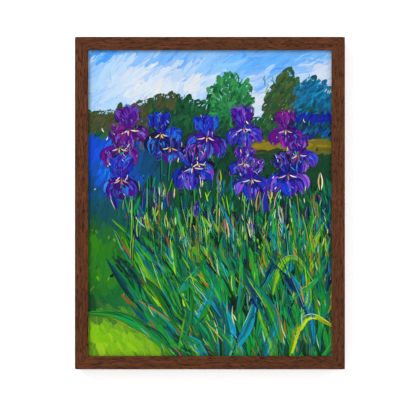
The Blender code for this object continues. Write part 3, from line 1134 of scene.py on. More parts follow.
CLOUD = Palette((190, 222, 249), (202, 226, 248), (172, 214, 250), (214, 230, 247), (184, 214, 246))
CLOUD_BRIGHT = Palette((232, 236, 240), (240, 238, 230), (226, 232, 246), (236, 226, 226))
SKY = Palette((88, 176, 244), (72, 160, 240), (112, 192, 248), (60, 150, 236), (140, 206, 250))
SKY_PALE = Palette((150, 204, 246), (170, 212, 246), (134, 194, 244), (188, 220, 246))
HEDGE = Palette((84, 92, 62), (70, 84, 56), (96, 98, 66), (60, 78, 60), (78, 84, 50))
HEDGE_GREEN = Palette((26, 82, 52), (38, 100, 66), (20, 66, 46), (50, 112, 74))
FEATHER = Palette((48, 136, 84), (36, 118, 74), (64, 152, 92), (30, 104, 66), (84, 164, 104))
TALL_TREE = Palette((66, 104, 66), (78, 98, 58), (52, 96, 66), (88, 112, 60), (44, 86, 58))
TEAL_TREE = Palette((0, 112, 152), (4, 136, 176), (8, 92, 124), (30, 150, 190), (0, 78, 112))
COBALT = Palette((22, 50, 158), (30, 66, 176), (18, 42, 128), (44, 60, 170))
OCHRE = Palette((172, 150, 40), (158, 142, 36), (186, 160, 50), (146, 134, 40))
MEADOW_DARK = Palette((20, 82, 58), (14, 66, 50), (30, 96, 60), (24, 74, 44), (10, 56, 46))
MEADOW = Palette((34, 112, 52), (26, 96, 50), (46, 124, 48), (22, 84, 56))
FIELD_BLUE = Palette((42, 108, 236), (34, 94, 220), (60, 124, 240), (28, 84, 204))
FIELD_TEAL = Palette((2, 98, 124), (0, 86, 104), (12, 110, 132), (4, 76, 86))
LAWN = Palette((52, 140, 34), (44, 126, 34), (70, 154, 34), (36, 112, 36), (88, 164, 38))
LIME = Palette((150, 208, 40), (136, 196, 36), (170, 218, 50), (120, 182, 40), (184, 222, 70))
VIOLET = Palette((80, 38, 146), (92, 42, 150), (62, 30, 124), (100, 50, 158), (56, 38, 140))
PURPLE_WARM = Palette((106, 38, 134), (118, 46, 140), (84, 32, 116), (126, 62, 154))
BLUE_VIOLET = Palette((52, 52, 172), (44, 42, 150), (62, 66, 190), (36, 50, 160), (54, 84, 204))
NIGHT = Palette((34, 14, 66), (26, 14, 58), (44, 18, 78), (24, 18, 72))
LILAC = Palette((156, 100, 200), (170, 120, 214), (140, 92, 196), (120, 120, 220))
MAGENTA = Palette((166, 50, 156), (182, 66, 166), (150, 44, 140))
GLEAM = Palette((206, 188, 238), (228, 216, 242), (160, 186, 242), (186, 150, 226))
AZURE = Palette((30, 122, 222), (44, 146, 228), (24, 104, 204), (70, 166, 230))
BEARD = Palette((240, 222, 182), (246, 234, 206), (226, 204, 150), (236, 226, 214))
RUST = Palette((170, 92, 42), (186, 108, 48), (146, 72, 36), (190, 130, 60))
PAPERY = Palette((112, 84, 60), (146, 118, 82), (92, 60, 52), (172, 150, 110), (80, 44, 60))
TEAL_LEAF = Palette((0, 112, 112), (0, 98, 102), (16, 128, 124), (10, 90, 84))
TURQUOISE = Palette((40, 160, 190), (54, 176, 200), (26, 140, 176), (70, 186, 204), (30, 124, 160))
EMERALD = Palette((20, 140, 80), (28, 156, 88), (16, 120, 72), (40, 168, 92))
GREEN_LEAF = Palette((50, 150, 60), (40, 132, 52), (66, 160, 60), (34, 116, 48), (84, 168, 60))
DEEP_LEAF = Palette((12, 66, 46), (10, 52, 42), (18, 78, 48), (8, 44, 48), (20, 60, 34))
NAVY = Palette((16, 42, 104), (14, 56, 96), (22, 50, 120), (10, 36, 74))
YELLOW_GREEN = Palette((182, 210, 40), (206, 216, 44), (160, 200, 44), (220, 222, 70))
PALE_EDGE = Palette((208, 230, 190), (190, 222, 206), (224, 232, 180), (170, 214, 200))
OCHRE_LEAF = Palette((190, 130, 40), (204, 146, 50), (176, 112, 44), (150, 120, 40))
HOLLOW = Palette((8, 30, 24), (12, 38, 26), (6, 24, 30), (16, 34, 20))

SPARKS = (LIME, TURQUOISE, EMERALD, LAWN, TEAL_LEAF, DEEP_LEAF, GREEN_LEAF, FEATHER, NAVY, OCHRE_LEAF)

ACCENTS = (
    LIME, TURQUOISE, DEEP_LEAF, EMERALD, NAVY, TEAL_LEAF, DEEP_LEAF, GREEN_LEAF, YELLOW_GREEN, HOLLOW,
    PALE_EDGE, OCHRE_LEAF
)
THICKET_DARK = (DEEP_LEAF, MEADOW, TEAL_LEAF, DEEP_LEAF, MEADOW_DARK, EMERALD, TEAL_LEAF, NAVY)
THICKET_LIGHT = (
    EMERALD, GREEN_LEAF, TURQUOISE, VIOLET, LIME, FEATHER, GREEN_LEAF, RUST, BLUE_VIOLET, TEAL_LEAF
)


class Theme(Enum):
    """What a bloom's standards, falls and lights are painted with."""

    DUSK = (VIOLET, BLUE_VIOLET, LILAC)
    WINE = (PURPLE_WARM, VIOLET, MAGENTA)
    INK = (BLUE_VIOLET, NIGHT, AZURE)
    PLUM = (VIOLET, PURPLE_WARM, LILAC)
    SKYLIT = (BLUE_VIOLET, VIOLET, AZURE)
    NIGHTFALL = (NIGHT, BLUE_VIOLET, LILAC)


@dataclass(frozen=True)
class Bloom:
    """One iris, placed by its throat."""

    across: float
    up: float
    span_mm: float
    lean: float
    theme: Theme
    falls: tuple[float, ...] = (-58.0, 0.0, 58.0)
    standard: float = 1.0
    fall: float = 1.0


def scattered_blooms(seed: int = 61) -> tuple[Bloom, ...]:
    """Blooms in three loose rows, the far ones first, placed by rule from a seed."""
    rng, themes, blooms = np.random.default_rng(seed), list(Theme), []
    for up, count, span in ((0.66, 5, 50), (0.745, 5, 57), (0.60, 4, 66)):
        for number in range(count):
            across = 0.05 + 0.90 * (number + 0.5 + rng.uniform(-0.28, 0.28)) / count
            falls = (int(rng.uniform(-64, -40)), int(rng.uniform(-10, 12)), int(rng.uniform(38, 64)))
            place = (float(across), float(up + rng.normal(0, 0.022)))
            shape = (float(rng.uniform(0.75, 1.04)), float(rng.uniform(0.82, 1.06)))
            blooms.append(
                Bloom(
                    *place, float(span * rng.uniform(0.9, 1.1)), float(rng.uniform(-7, 7)),
                    themes[rng.integers(len(themes))], falls, *shape
                )
            )
    return tuple(blooms)


BLOOMS = scattered_blooms()


def polar(angle: float, reach: float) -> np.ndarray:
    """The step of this reach at this angle in degrees, from the right and anticlockwise."""
    turn = math.radians(angle)
    return np.array([math.cos(turn), math.sin(turn)]) * reach


def scatter(
    rng: np.random.Generator, count: int, across: tuple[float, float], up: tuple[float, float]
) -> Iterator[tuple[float, float]]:
    """Random places in part of the opening, each drawn when it is asked for.

    Args:
        rng: the layer's own random numbers.
        count: how many.
        across: the least and the greatest share of the width.
        up: the least and the greatest share of the height.

    Yields:
        A place's share of the width and of the height.
    """
    for _ in range(count):
        yield rng.uniform(*across), rng.uniform(*up)


def turned(points: np.ndarray, angle: float) -> np.ndarray:
    """Points turned anticlockwise about the origin by this many degrees."""
    c, s = math.cos(math.radians(angle)), math.sin(math.radians(angle))
    return np.asarray(points, float) @ np.array([[c, s], [-s, c]])


class Backdrop:
    """The sky, the trees and the meadow behind the flowers."""

    HEDGE_TOP = (
        (0.0, 0.795), (0.10, 0.80), (0.20, 0.822), (0.30, 0.850), (0.38, 0.848), (0.46, 0.825),
        (0.54, 0.80), (0.66, 0.775), (0.74, 0.77)
    )
    FEATHER_TREE = (
        (0.49, 0.77), (0.495, 0.85), (0.525, 0.895), (0.57, 0.920), (0.615, 0.908), (0.655, 0.88),
        (0.675, 0.84), (0.665, 0.80), (0.655, 0.77)
    )
    RIGHT_TREES = (
        (0.71, 0.74), (0.725, 0.81), (0.745, 0.87), (0.785, 0.915), (0.82, 0.930), (0.85, 0.902),
        (0.875, 0.888), (0.91, 0.912), (0.95, 0.900),
        (0.98, 0.872), (1.02, 0.860), (1.02, 0.70), (0.71, 0.70),
    )

    DOTS = (
        (0.90, 0.885, 120), (0.92, 0.875, 60), (0.94, 0.88, 140), (0.91, 0.86, 80), (0.955, 0.862, 30),
        (0.97, 0.845, 50), (0.895, 0.845, 75)
    )
    AIR = (
        (0.06, 1.00, 0.22, 0.035, SKY), (0.37, 0.975, 0.13, 0.045, SKY), (0.63, 0.965, 0.13, 0.055, SKY),
        (0.78, 0.95, 0.12, 0.05, SKY),
        (0.03, 0.89, 0.09, 0.06, SKY_PALE), (0.24, 0.89, 0.15, 0.06, CLOUD_BRIGHT),
        (0.50, 0.935, 0.07, 0.03, SKY_PALE), (0.44, 0.90, 0.06, 0.03, CLOUD_BRIGHT),
        (0.95, 0.925, 0.07, 0.03, CLOUD_BRIGHT), (0.92, 0.985, 0.14, 0.025, SKY),
        (0.69, 0.84, 0.05, 0.06, CLOUD_BRIGHT),
    )
    LAND = (
        (0.40, 0.25, 0.30, 0.20, EMERALD), (0.45, 0.40, 0.25, 0.12, DEEP_LEAF),
        (0.90, 0.20, 0.20, 0.20, MEADOW), (0.04, 0.67, 0.18, 0.08, FIELD_BLUE),
        (0.13, 0.57, 0.10, 0.04, FIELD_BLUE), (0.04, 0.50, 0.16, 0.05, FIELD_TEAL),
        (0.17, 0.47, 0.10, 0.05, FIELD_TEAL), (0.05, 0.36, 0.13, 0.055, LAWN),
        (0.17, 0.38, 0.06, 0.04, MEADOW), (0.05, 0.26, 0.13, 0.05, LAWN), (0.14, 0.035, 0.24, 0.065, LIME),
        (0.03, 0.07, 0.12, 0.05, LIME), (0.25, 0.17, 0.10, 0.05, GREEN_LEAF),
        (0.32, 0.705, 0.07, 0.012, OCHRE), (0.93, 0.687, 0.22, 0.016, OCHRE),
        (0.72, 0.687, 0.10, 0.016, OCHRE), (0.80, 0.58, 0.16, 0.07, MEADOW_DARK),
    )

    def __init__(self, easel: Easel) -> None:
        """Starts the layers.

        Args:
            easel: where they are painted.
        """
        self.easel = easel
        self.sky = Layer("paint_sky", easel, 11, 0.0, 0.06, 0.13)
        self.trees = Layer("paint_trees", easel, 12, 0.14, 0.26, 0.20)
        self.meadow = Layer("paint_meadow", easel, 13, 0.02, 0.12, 0.16)

    @classmethod
    def skyline(cls, across: float) -> float:
        """How high the hedge stands at a share of the width."""
        return float(np.interp(across, *zip(*cls.HEDGE_TOP)))

    def brushed(
        self, layer: Layer, across: float, up: float, angle: float, length: float, width: float,
        tint: np.ndarray, other: np.ndarray, lift: float | None = None
    ) -> None:
        """One blunt stroke about a place.

        Args:
            layer: what it belongs to.
            across: its middle's share of the width.
            up: its middle's share of the height.
            angle: its direction in degrees.
            length: its length in millimetres.
            width: its width in millimetres.
            tint: its colour.
            other: the colour that streaks it.
            lift: how high it lies in its layer.
        """
        middle = self.easel.at(across, up)
        reach = polar(angle, length / 2)
        bow = polar(angle + 90, length * layer.rng.normal(0, 0.07))
        layer.stroke(
            [middle - reach, middle + bow, middle + reach], width, tint, other, head=0.16, tail=0.24,
            lift=lift, point=0.4
        )

    @staticmethod
    def within(outline: tuple, across: float, up: float) -> bool:
        """Whether a place lies inside an outline.

        Args:
            outline: its corners as shares of the opening.
            across: the place's share of the width.
            up: the place's share of the height.

        Returns:
            True inside.
        """
        inside = False
        for (x0, y0), (x1, y1) in zip(outline, outline[1:] + outline[:1]):
            if (y0 > up) != (y1 > up) and across < x0 + (up - y0) * (x1 - x0) / (y1 - y0):
                inside = not inside
        return inside

    def wooded(self, across: float, up: float) -> bool:
        """Whether a tree or the hedge covers a place."""
        return up < self.skyline(across) or self.within(
            self.FEATHER_TREE, across, up
        ) or self.within(self.RIGHT_TREES, across, up)

    def wash(self, across: float, up: float, rng: np.random.Generator) -> np.ndarray:
        """The colour of the air or the land at a place, each patch melting into the next.

        Args:
            across: its share of the width.
            up: its share of the height.
            rng: makes each stroke a little different.

        Returns:
            The colour as linear light.
        """
        patches, base = (self.AIR, CLOUD) if up > LAND_TOP else (self.LAND, MEADOW_DARK)
        colour = base.blend(rng)
        for u, v, wide, high, palette in patches:
            share = 0.92 * math.exp(-(((across - u) / wide) ** 2) - ((up - v) / high) ** 2)
            colour = colour * (1 - share) + palette.blend(rng) * share if share > 0.02 else colour
        return colour

    def under(self, across: float, up: float, rng: np.random.Generator) -> np.ndarray:
        """The thin first colour under the strokes at a place.

        Args:
            across: its share of the width.
            up: its share of the height.
            rng: makes it a little uneven.

        Returns:
            The colour as linear light.
        """
        if up > 0.715 and self.wooded(across, up):
            return self.tree_palette(across, up, rng).pick(rng, 0.05)
        return self.wash(across, up, rng)

    def tree_palette(self, across: float, up: float, rng: np.random.Generator) -> Palette:
        """The leaves' colours at a place.

        Args:
            across: its share of the width.
            up: its share of the height.
            rng: chooses between neighbours.

        Returns:
            The colours.
        """
        chance = rng.random()
        if up < 0.735 and across < 0.8:
            return MEADOW_DARK if across > 0.12 else HEDGE_GREEN
        if across > 0.70:
            if across > 0.84 and up < 0.785 + 0.012 * chance:
                return (COBALT, MEADOW_DARK, NAVY, TEAL_TREE)[int(chance * 4)] if up < 0.765 else COBALT
            if across > 0.868 - 0.3 * max(0.0, 0.9 - up) + 0.02 * (chance - 0.5):
                return MEADOW_DARK if up < 0.82 and chance < 0.3 else TEAL_TREE
            return HEDGE if chance < 0.3 and up > 0.8 else HEDGE_GREEN if chance < 0.42 else TALL_TREE
        if self.within(self.FEATHER_TREE, across, up) and across > 0.50:
            return HEDGE_GREEN if chance < 0.22 and up < 0.88 else FEATHER
        if across < 0.25 or (0.27 < across < 0.36 and self.skyline(across) - up < 0.04):
            return HEDGE
        return HEDGE_GREEN if chance < 0.75 else MEADOW_DARK

    def paint_sky(self) -> None:
        """Broad soft strokes of cloud that slant up to the right, with blue between."""
        rng = self.sky.rng
        for length, width, step in ((52, 19, 0.030), (34, 11, 0.024)):
            for up in np.arange(1.0, 0.745, -step * 0.62):
                for across in np.arange(-0.01, 1.02, step * 1.2):
                    u, v = across + rng.normal(0, 0.014), up + rng.normal(0, 0.009)
                    if self.wooded(u, v - 0.012):
                        continue
                    slant = 36 + 14 * math.sin(u * 5 + v * 7) + rng.normal(0, 12)
                    tint = self.wash(u, v, rng)
                    other = self.wash(
                        u + rng.normal(0, 0.05), min(1, max(AIR_EDGE, v + rng.normal(0, 0.03))), rng
                    )
                    self.brushed(
                        self.sky, u, v, slant, length * rng.uniform(0.7, 1.2),
                        width * rng.uniform(0.75, 1.1), tint, other
                    )
        for u, v in scatter(rng, 120, (0.3, 1.0), (0.90, 1.0)):
            if not self.wooded(u, v):
                tint = (
                    SKY if rng.random() < 0.5 else SKY_PALE if rng.random() < 0.5 else CLOUD
                ).pick(rng, 0.05)
                self.brushed(
                    self.sky, u, v, 42 + rng.normal(0, 9), rng.uniform(12, 26), rng.uniform(2.0, 4.2), tint,
                    self.wash(u, v, rng), lift=0.9
                )
        for u, v in scatter(rng, 44, (0.0, 0.45), (0.83, 0.95)):
            if not self.wooded(u, v):
                tint = (SKY_PALE if rng.random() < 0.5 else CLOUD_BRIGHT).pick(rng, 0.04)
                self.brushed(
                    self.sky, u, v, 30 + rng.normal(0, 14), rng.uniform(16, 32), rng.uniform(2.0, 4.5),
                    tint, self.wash(u, v, rng), lift=0.9
                )

    def paint_trees(self) -> None:
        """The hedge, the feathery tree, the tall tree and the blue-green one."""
        rng, layer = self.trees.rng, self.trees
        for size, step, lift in ((1.0, 0.020, 0.1), (0.52, 0.0125, None)):
            for across in np.arange(-0.01, 1.02, step):
                for up in np.arange(0.695, 0.95, step * 0.8):
                    u, v = across + rng.normal(0, step * 0.4), up + rng.normal(0, step * 0.35)
                    if not self.wooded(u, v) or (v < 0.72 and u > 0.62) or (v < 0.728 and u < 0.26):
                        continue
                    palette = self.tree_palette(u, v, rng)
                    slant = 50 + rng.normal(0, 11)
                    if 0.50 < u < 0.69:
                        slant = math.degrees(math.atan2((v - 0.79) * 1.26, u - 0.585)) + rng.normal(0, 20)
                    elif 0.25 < u < 0.50:
                        slant = 66 + rng.normal(0, 26)
                    tint, other = palette.pick(rng, 0.1), self.tree_palette(u, v, rng).pick(rng, 0.1)
                    self.brushed(
                        layer, u, v, slant, rng.uniform(16, 26) * size, rng.uniform(8, 11) * size, tint,
                        other, lift=lift
                    )
        for u, v in scatter(rng, 5200, (0.0, 1.0), (0.75, 0.955)):
            leafy, above, below = self.wooded(u, v), self.wooded(u, v + 0.014), self.wooded(u, v - 0.010)
            if leafy and not above:
                tint = self.tree_palette(u, v, rng).pick(rng, 0.14)
                self.brushed(
                    layer, u, v + 0.004, 58 + rng.normal(0, 24), rng.uniform(3, 9), rng.uniform(1.0, 2.4),
                    tint, FEATHER.pick(rng)
                )
            elif below and not leafy and rng.random() < 0.5:
                self.brushed(
                    layer, u, v - 0.006, 44 + rng.normal(0, 30), rng.uniform(3, 7), rng.uniform(1.0, 2.2),
                    self.wash(u, v, rng), SKY_PALE.pick(rng), lift=1.0
                )
        for u, v in scatter(rng, 30, (0.53, 0.64), (0.83, 0.91)):
            self.brushed(
                layer, u, v, 110 + rng.normal(0, 26), rng.uniform(3, 6), 1.6, CLOUD.pick(rng),
                FEATHER.pick(rng), lift=1.0
            )
        for u, v, angle in self.DOTS:
            self.brushed(layer, u, v, angle, 7, 2.8, AZURE.pick(rng), TURQUOISE.pick(rng), lift=1.0)
        for u, v in scatter(rng, 40, (0.72, 0.86), (0.76, 0.91)):
            palette = (
                YELLOW_GREEN if rng.random() < 0.2 else GREEN_LEAF if rng.random() < 0.5 else TURQUOISE
            )
            self.brushed(
                layer, u, v, 60 + rng.normal(0, 16), rng.uniform(7, 13), 1.6, palette.pick(rng) * 0.8,
                FEATHER.pick(rng), lift=1.0
            )

    def grass_angle(self, across: float, up: float) -> float:
        """The way the brush goes over the land at a place.

        Args:
            across: its share of the width.
            up: its share of the height.

        Returns:
            The direction in degrees.
        """
        rng = self.meadow.rng
        angle = 66 + rng.normal(0, 10) if across < 0.25 and up > 0.5 else 84 + rng.normal(0, 16)
        if across < 0.36 and up < 0.2:
            angle = 112 + rng.normal(0, 14)
        elif across > CORN_FROM and 0.42 < up < CORN_ABOVE:
            angle = 28 + rng.normal(0, 24)
        return 4 + rng.normal(0, 4) if up > CORN_ABOVE and across > CORN_FROM else angle

    def paint_meadow(self) -> None:
        """The field, the far strip of corn, the shade under the trees and the lawn."""
        rng, layer = self.meadow.rng, self.meadow
        for length, width, step in ((32, 15, 0.031), (21, 8, 0.0262)):
            for up in np.arange(-0.005, 0.73, step * 0.8):
                for across in np.arange(-0.01, 1.02, step * 1.15):
                    u, v = across + rng.normal(0, 0.010), up + rng.normal(0, 0.007)
                    angle = self.grass_angle(u, v)
                    size = 0.62 if v > CORN_ABOVE and u > CORN_FROM else 1.0
                    shift = 0.0 if v > CORN_ABOVE else 0.02
                    tint = self.wash(u, min(v, LAND_EDGE), rng)
                    near_u, near_v = u + rng.normal(0, 0.03), v + rng.normal(0, shift)
                    other = self.wash(near_u, min(near_v, LAND_EDGE), rng)
                    self.brushed(
                        layer, u, v, angle, length * rng.uniform(0.75, 1.15),
                        width * rng.uniform(0.8, 1.1) * size, tint, other
                    )
        for u, v, length in (
            (0.66, 0.70, 20), (0.64, 0.697, 12), (0.70, 0.703, 22), (0.78, 0.69, 30), (0.86, 0.685, 34),
            (0.95, 0.69, 30), (0.92, 0.70, 40), (0.81, 0.70, 36)
        ):
            tint = (RUST if u < 0.67 else OCHRE).pick(rng)
            self.brushed(layer, u, v, 3, length, 3.0, tint, OCHRE.pick(rng), lift=1.0)
        for u, v in scatter(rng, 60, (0.0, 0.15), (0.55, 0.71)):
            self.brushed(
                layer, u, v, 64 + rng.normal(0, 9), rng.uniform(16, 30), rng.uniform(2.0, 4.2),
                FIELD_BLUE.pick(rng), AZURE.pick(rng), lift=0.9
            )
        for u, v in scatter(rng, 44, (0.10, 0.20), (0.25, 0.315)):
            self.brushed(
                layer, u, v, rng.uniform(0, 180), rng.uniform(6, 13), rng.uniform(3, 6), HOLLOW.pick(rng),
                DEEP_LEAF.pick(rng), lift=1.0
            )
        for u, v in scatter(rng, 60, (0.0, 0.16), (0.20, 0.42)):
            palette = (LIME, LAWN, FEATHER, OCHRE, MEADOW)[rng.integers(5)]
            self.brushed(
                layer, u, v, rng.uniform(50, 130), rng.uniform(4, 12), rng.uniform(1.6, 3.4),
                palette.pick(rng) * 0.85, LAWN.pick(rng), lift=1.0
            )


class Foliage:
    """Sword leaves, stems and buds."""

    def __init__(self, easel: Easel) -> None:
        """Starts the layers.

        Args:
            easel: where they are painted.
        """
        self.easel = easel
        self.back = Layer("paint_leaves_back", easel, 21, 0.22, 0.40, 0.26)
        self.middle = Layer("paint_leaves_middle", easel, 22, 0.38, 0.60, 0.30)
        self.front = Layer("paint_leaves_front", easel, 23, 0.62, 0.92, 0.36)
        self.stems = Layer("paint_stems", easel, 24, 0.50, 0.72, 0.32)

    def leaf(
        self, layer: Layer, points: list[tuple[float, float]], width: float, body: tuple[Palette, ...],
        edge: Palette | None = None, shade: Palette | None = DEEP_LEAF, blunt: float = 0.12
    ) -> None:
        """A sword leaf of strokes side by side, from its foot to its tip.

        Args:
            layer: what it belongs to.
            points: its middle line, as shares of the opening.
            width: its greatest width in millimetres.
            body: the colours of its strokes, from one side to the other.
            edge: the colours of its lit rim.
            shade: the colours of its dark rim.
            blunt: how wide its foot is, as a share of its width.
        """
        rng = layer.rng
        line = smooth_path(np.array([self.easel.at(*p) for p in points]), LEAF_POINTS)
        side = sideways(line)
        share = np.linspace(0, 1, LEAF_POINTS)
        profile = (
            np.clip(share / 0.4, 0, 1) ** 0.7 * (1 - blunt) + blunt
        ) * np.clip((1 - share) / 0.62, 0, 1) ** 0.75
        half = (width / 2 * profile)[:, None]
        lanes = max(2, int(round(width / 2.9)))
        for number, lane in enumerate(np.linspace(-0.8, 0.8, lanes)):
            palette = body[min(len(body) - 1, int(number * len(body) / lanes))]
            start = 0
            while start < LEAF_POINTS - 3:
                stop = min(LEAF_POINTS, start + int(rng.integers(4, 12)))
                stop = LEAF_POINTS if stop > LEAF_POINTS - 3 else stop
                drift = rng.normal(0, width * 0.05)
                run = (line + side * (half * lane + drift * half / max(width, 1)))[start:stop]
                chance = rng.random()
                mixed = (
                    palette if chance < 0.55 else body[rng.integers(len(body))]
                    if chance < 0.8 else SPARKS[rng.integers(len(SPARKS))]
                )
                broad = width / lanes * 1.6 * float(np.clip(profile[start:stop].max(), 0.3, 1))
                layer.stroke(
                    run, broad, mixed.pick(rng, 0.16), body[rng.integers(len(body))].pick(rng), head=0.12,
                    tail=0.4, lift=0.2 + 0.5 * rng.random(), point=0.25
                )
                start = stop - 1
        if shade and rng.random() < 0.75:
            first = int(rng.integers(0, 5))
            layer.stroke(
                (line - side * half)[first : first + 5 + int(rng.integers(6))], max(1.0, width * 0.09),
                shade.pick(rng), NAVY.pick(rng), lift=0.7
            )
        if edge:
            first = int(rng.integers(1, 8))
            layer.stroke(
                (line + side * half * 0.95)[first : first + 4 + int(rng.integers(6))],
                max(0.9, width * 0.08), edge.pick(rng), body[0].pick(rng), lift=1.0, relief=1.2
            )

    def lean(self, across: float) -> float:
        """The angle at which leaves grow at a share of the width, in degrees."""
        return float(np.interp(across, (0.0, 0.25, 0.5, 0.75, 1.0), (130, 122, 116, 104, 92)))

    def shares(self, *places: np.ndarray) -> list[tuple[float, float]]:
        """Places in millimetres, as shares of the opening."""
        return [tuple(place / self.easel.at(1, 1)) for place in places]

    def blade(
        self, rng: np.random.Generator, foot: np.ndarray, angle: float, length: float, bow: float
    ) -> list:
        """The middle line of a thin leaf.

        Args:
            rng: bends it a little.
            foot: where it starts, in millimetres.
            angle: the way it grows, in degrees.
            length: its length in millimetres.
            bow: how far it may bend, as a share of its length.

        Returns:
            Its foot, middle and tip as shares of the opening.
        """
        tip = foot + polar(angle, length)
        bend = polar(angle + 90, rng.normal(0, bow) * length)
        return self.shares(foot, (foot + tip) / 2 + bend, tip)

    def paint_back(self) -> None:
        """Thin blades crowding behind the main leaves."""
        rng = self.back.rng
        bodies = (
            (TEAL_LEAF, EMERALD), (GREEN_LEAF, EMERALD), (DEEP_LEAF, TEAL_LEAF), (GREEN_LEAF, LAWN),
            (TEAL_LEAF, DEEP_LEAF), (EMERALD, MEADOW), (DEEP_LEAF, MEADOW), (NAVY, TEAL_LEAF)
        )
        for u, v in scatter(rng, 230, (0.22, 1.06), (-0.06, 0.32)):
            if u < 0.34 and v < 0.08:
                continue
            angle = self.lean(u) + rng.normal(0, 11)
            length = rng.uniform(60, 130) * (1.0 if v < 0.25 else 0.75)
            spots = self.blade(rng, self.easel.at(u, v), angle, length, 0.07)
            light = rng.random()
            edge = (
                LIME if light < 0.2 else PALE_EDGE if light < 0.25 else OCHRE_LEAF if light < 0.32 else None
            )
            self.leaf(
                self.back, spots, rng.uniform(5, 11), bodies[rng.integers(len(bodies))], edge,
                DEEP_LEAF if light > 0.4 else None
            )

    def paint_middle(self) -> None:
        """Upright blades round the stems, and the dark gaps between them."""
        rng = self.middle.rng
        for u, v in scatter(rng, 620, (0.14, 1.0), (0.33, 0.57)):
            if u < 0.26 and v < 0.44:
                continue
            bright = rng.random() < 0.24 + 0.5 * (0.45 - v)
            palette = THICKET_LIGHT[
                rng.integers(len(THICKET_LIGHT))
            ] if bright else THICKET_DARK[rng.integers(len(THICKET_DARK))]
            spot = self.easel.at(u, v)
            reach = polar(95 + rng.normal(0, 15), rng.uniform(6, 16))
            wide = rng.uniform(1.2, 3.0) if bright else rng.uniform(3.0, 7.0)
            self.middle.stroke(
                [spot - reach, spot + rng.normal(0, 1.2, 2), spot + reach], wide, palette.pick(rng),
                THICKET_DARK[rng.integers(len(THICKET_DARK))].pick(rng), lift=0.75 if bright else 0.1,
                point=0.3
            )
        for u, v in scatter(rng, 210, (0.16, 1.0), (0.36, 0.56)):
            if u < 0.24 and v < 0.44:
                continue
            spot, reach = self.easel.at(u, v), polar(94 + rng.normal(0, 13), rng.uniform(3, 9))
            palette = (BEARD, PALE_EDGE, HOLLOW, LIME, NIGHT, HOLLOW, TURQUOISE, VIOLET)[rng.integers(8)]
            self.middle.stroke(
                [spot - reach, spot + reach], rng.uniform(0.9, 2.2), palette.pick(rng), palette.pick(rng),
                lift=1.0
            )
        for _ in range(13):
            u, v, size = rng.uniform(0.38, 0.97), rng.uniform(0.04, 0.50), rng.uniform(10, 22)
            for _ in range(int(size * 0.8)):
                spot = self.easel.at(u, v) + rng.normal(0, size * 0.3, 2)
                reach = polar(98 + rng.normal(0, 16), rng.uniform(6, 14))
                self.middle.stroke(
                    [spot - reach, spot + reach], rng.uniform(2.5, 5), HOLLOW.pick(rng),
                    DEEP_LEAF.pick(rng), lift=0.6
                )
        bodies = (
            (EMERALD, GREEN_LEAF), (TEAL_LEAF, TURQUOISE), (GREEN_LEAF, LIME), (TEAL_LEAF, EMERALD),
            (GREEN_LEAF, OCHRE_LEAF), (EMERALD, FEATHER)
        )
        for u, v in scatter(rng, 64, (0.18, 1.02), (0.08, 0.34)):
            if u < 0.26 and v < 0.26:
                continue
            angle = self.lean(u) - 6 + rng.normal(0, 9)
            length = rng.uniform(50, 100)
            spots = self.blade(rng, self.easel.at(u, v), angle, length, 0.06)
            edge = (YELLOW_GREEN, PALE_EDGE, YELLOW_GREEN, OCHRE_LEAF, None)[rng.integers(5)]
            self.leaf(self.middle, spots, rng.uniform(5, 10), bodies[rng.integers(len(bodies))], edge)

    def paint_front(self) -> None:
        """The broad leaves nearest the eye, most of them swept up to the left."""
        front, rng = self.front, self.front.rng
        bodies = (
            (TURQUOISE, TEAL_LEAF), (EMERALD, GREEN_LEAF, TURQUOISE), (TEAL_LEAF, EMERALD, GREEN_LEAF),
            (GREEN_LEAF, LIME, EMERALD), (DEEP_LEAF, EMERALD, LAWN), (NAVY, TEAL_LEAF)
        )
        for row, (foot, count, low_mm, high_mm) in enumerate(
            ((0.20, 6, 50, 90), (0.11, 8, 70, 120), (0.03, 8, 80, 130), (-0.03, 10, 60, 115))
        ):
            for number in range(count):
                u = 0.30 + 0.74 * (number + 0.5 + rng.normal(0, 0.18)) / count
                v = foot + rng.normal(0, 0.018)
                length = rng.uniform(low_mm, high_mm)
                crossing = rng.uniform(25, 65) if rng.random() < 0.34 else 0.0
                angle = self.lean(u) + rng.normal(0, 11) - crossing
                start = self.easel.at(u, v)
                tip = start + polar(angle + 9, length)
                bend = polar(angle - 90, length * rng.uniform(0.02, 0.10))
                edge = (YELLOW_GREEN, PALE_EDGE, LIME, None)[rng.integers(4)]
                line = self.shares(start, (start + tip) / 2 + bend, tip)
                width = rng.uniform(10, 15) + 2.5 * row
                self.leaf(front, line, width, bodies[rng.integers(len(bodies))], edge, NAVY)
        self.leaf(
            front, [(0.30, 0.04), (0.20, 0.10), (0.10, 0.135), (-0.02, 0.14)], 20,
            (DEEP_LEAF, EMERALD, LAWN), YELLOW_GREEN, DEEP_LEAF
        )
        self.leaf(
            front, [(0.76, 0.20), (0.80, 0.30), (0.86, 0.315), (0.93, 0.24)], 12,
            (GREEN_LEAF, LIME, FEATHER), PALE_EDGE, NAVY
        )
        self.leaf(
            front, [(0.83, 0.00), (0.865, 0.09), (0.92, 0.13), (1.02, 0.09)], 12,
            (YELLOW_GREEN, OCHRE_LEAF, LIME), PALE_EDGE, NAVY
        )
        for u, v in scatter(rng, 330, (0.20, 1.0), (0.0, 0.44)):
            if u < 0.30 and v < 0.12:
                continue
            angle = self.lean(u) + rng.normal(0, 9)
            spot = self.easel.at(u, v)
            reach = polar(angle, rng.uniform(5, 17))
            palette = ACCENTS[rng.integers(len(ACCENTS))]
            front.stroke(
                [spot - reach, spot + rng.normal(0, 1.0, 2), spot + reach], rng.uniform(0.9, 3.2),
                palette.pick(rng), GREEN_LEAF.pick(rng), lift=0.95, tail=0.5
            )

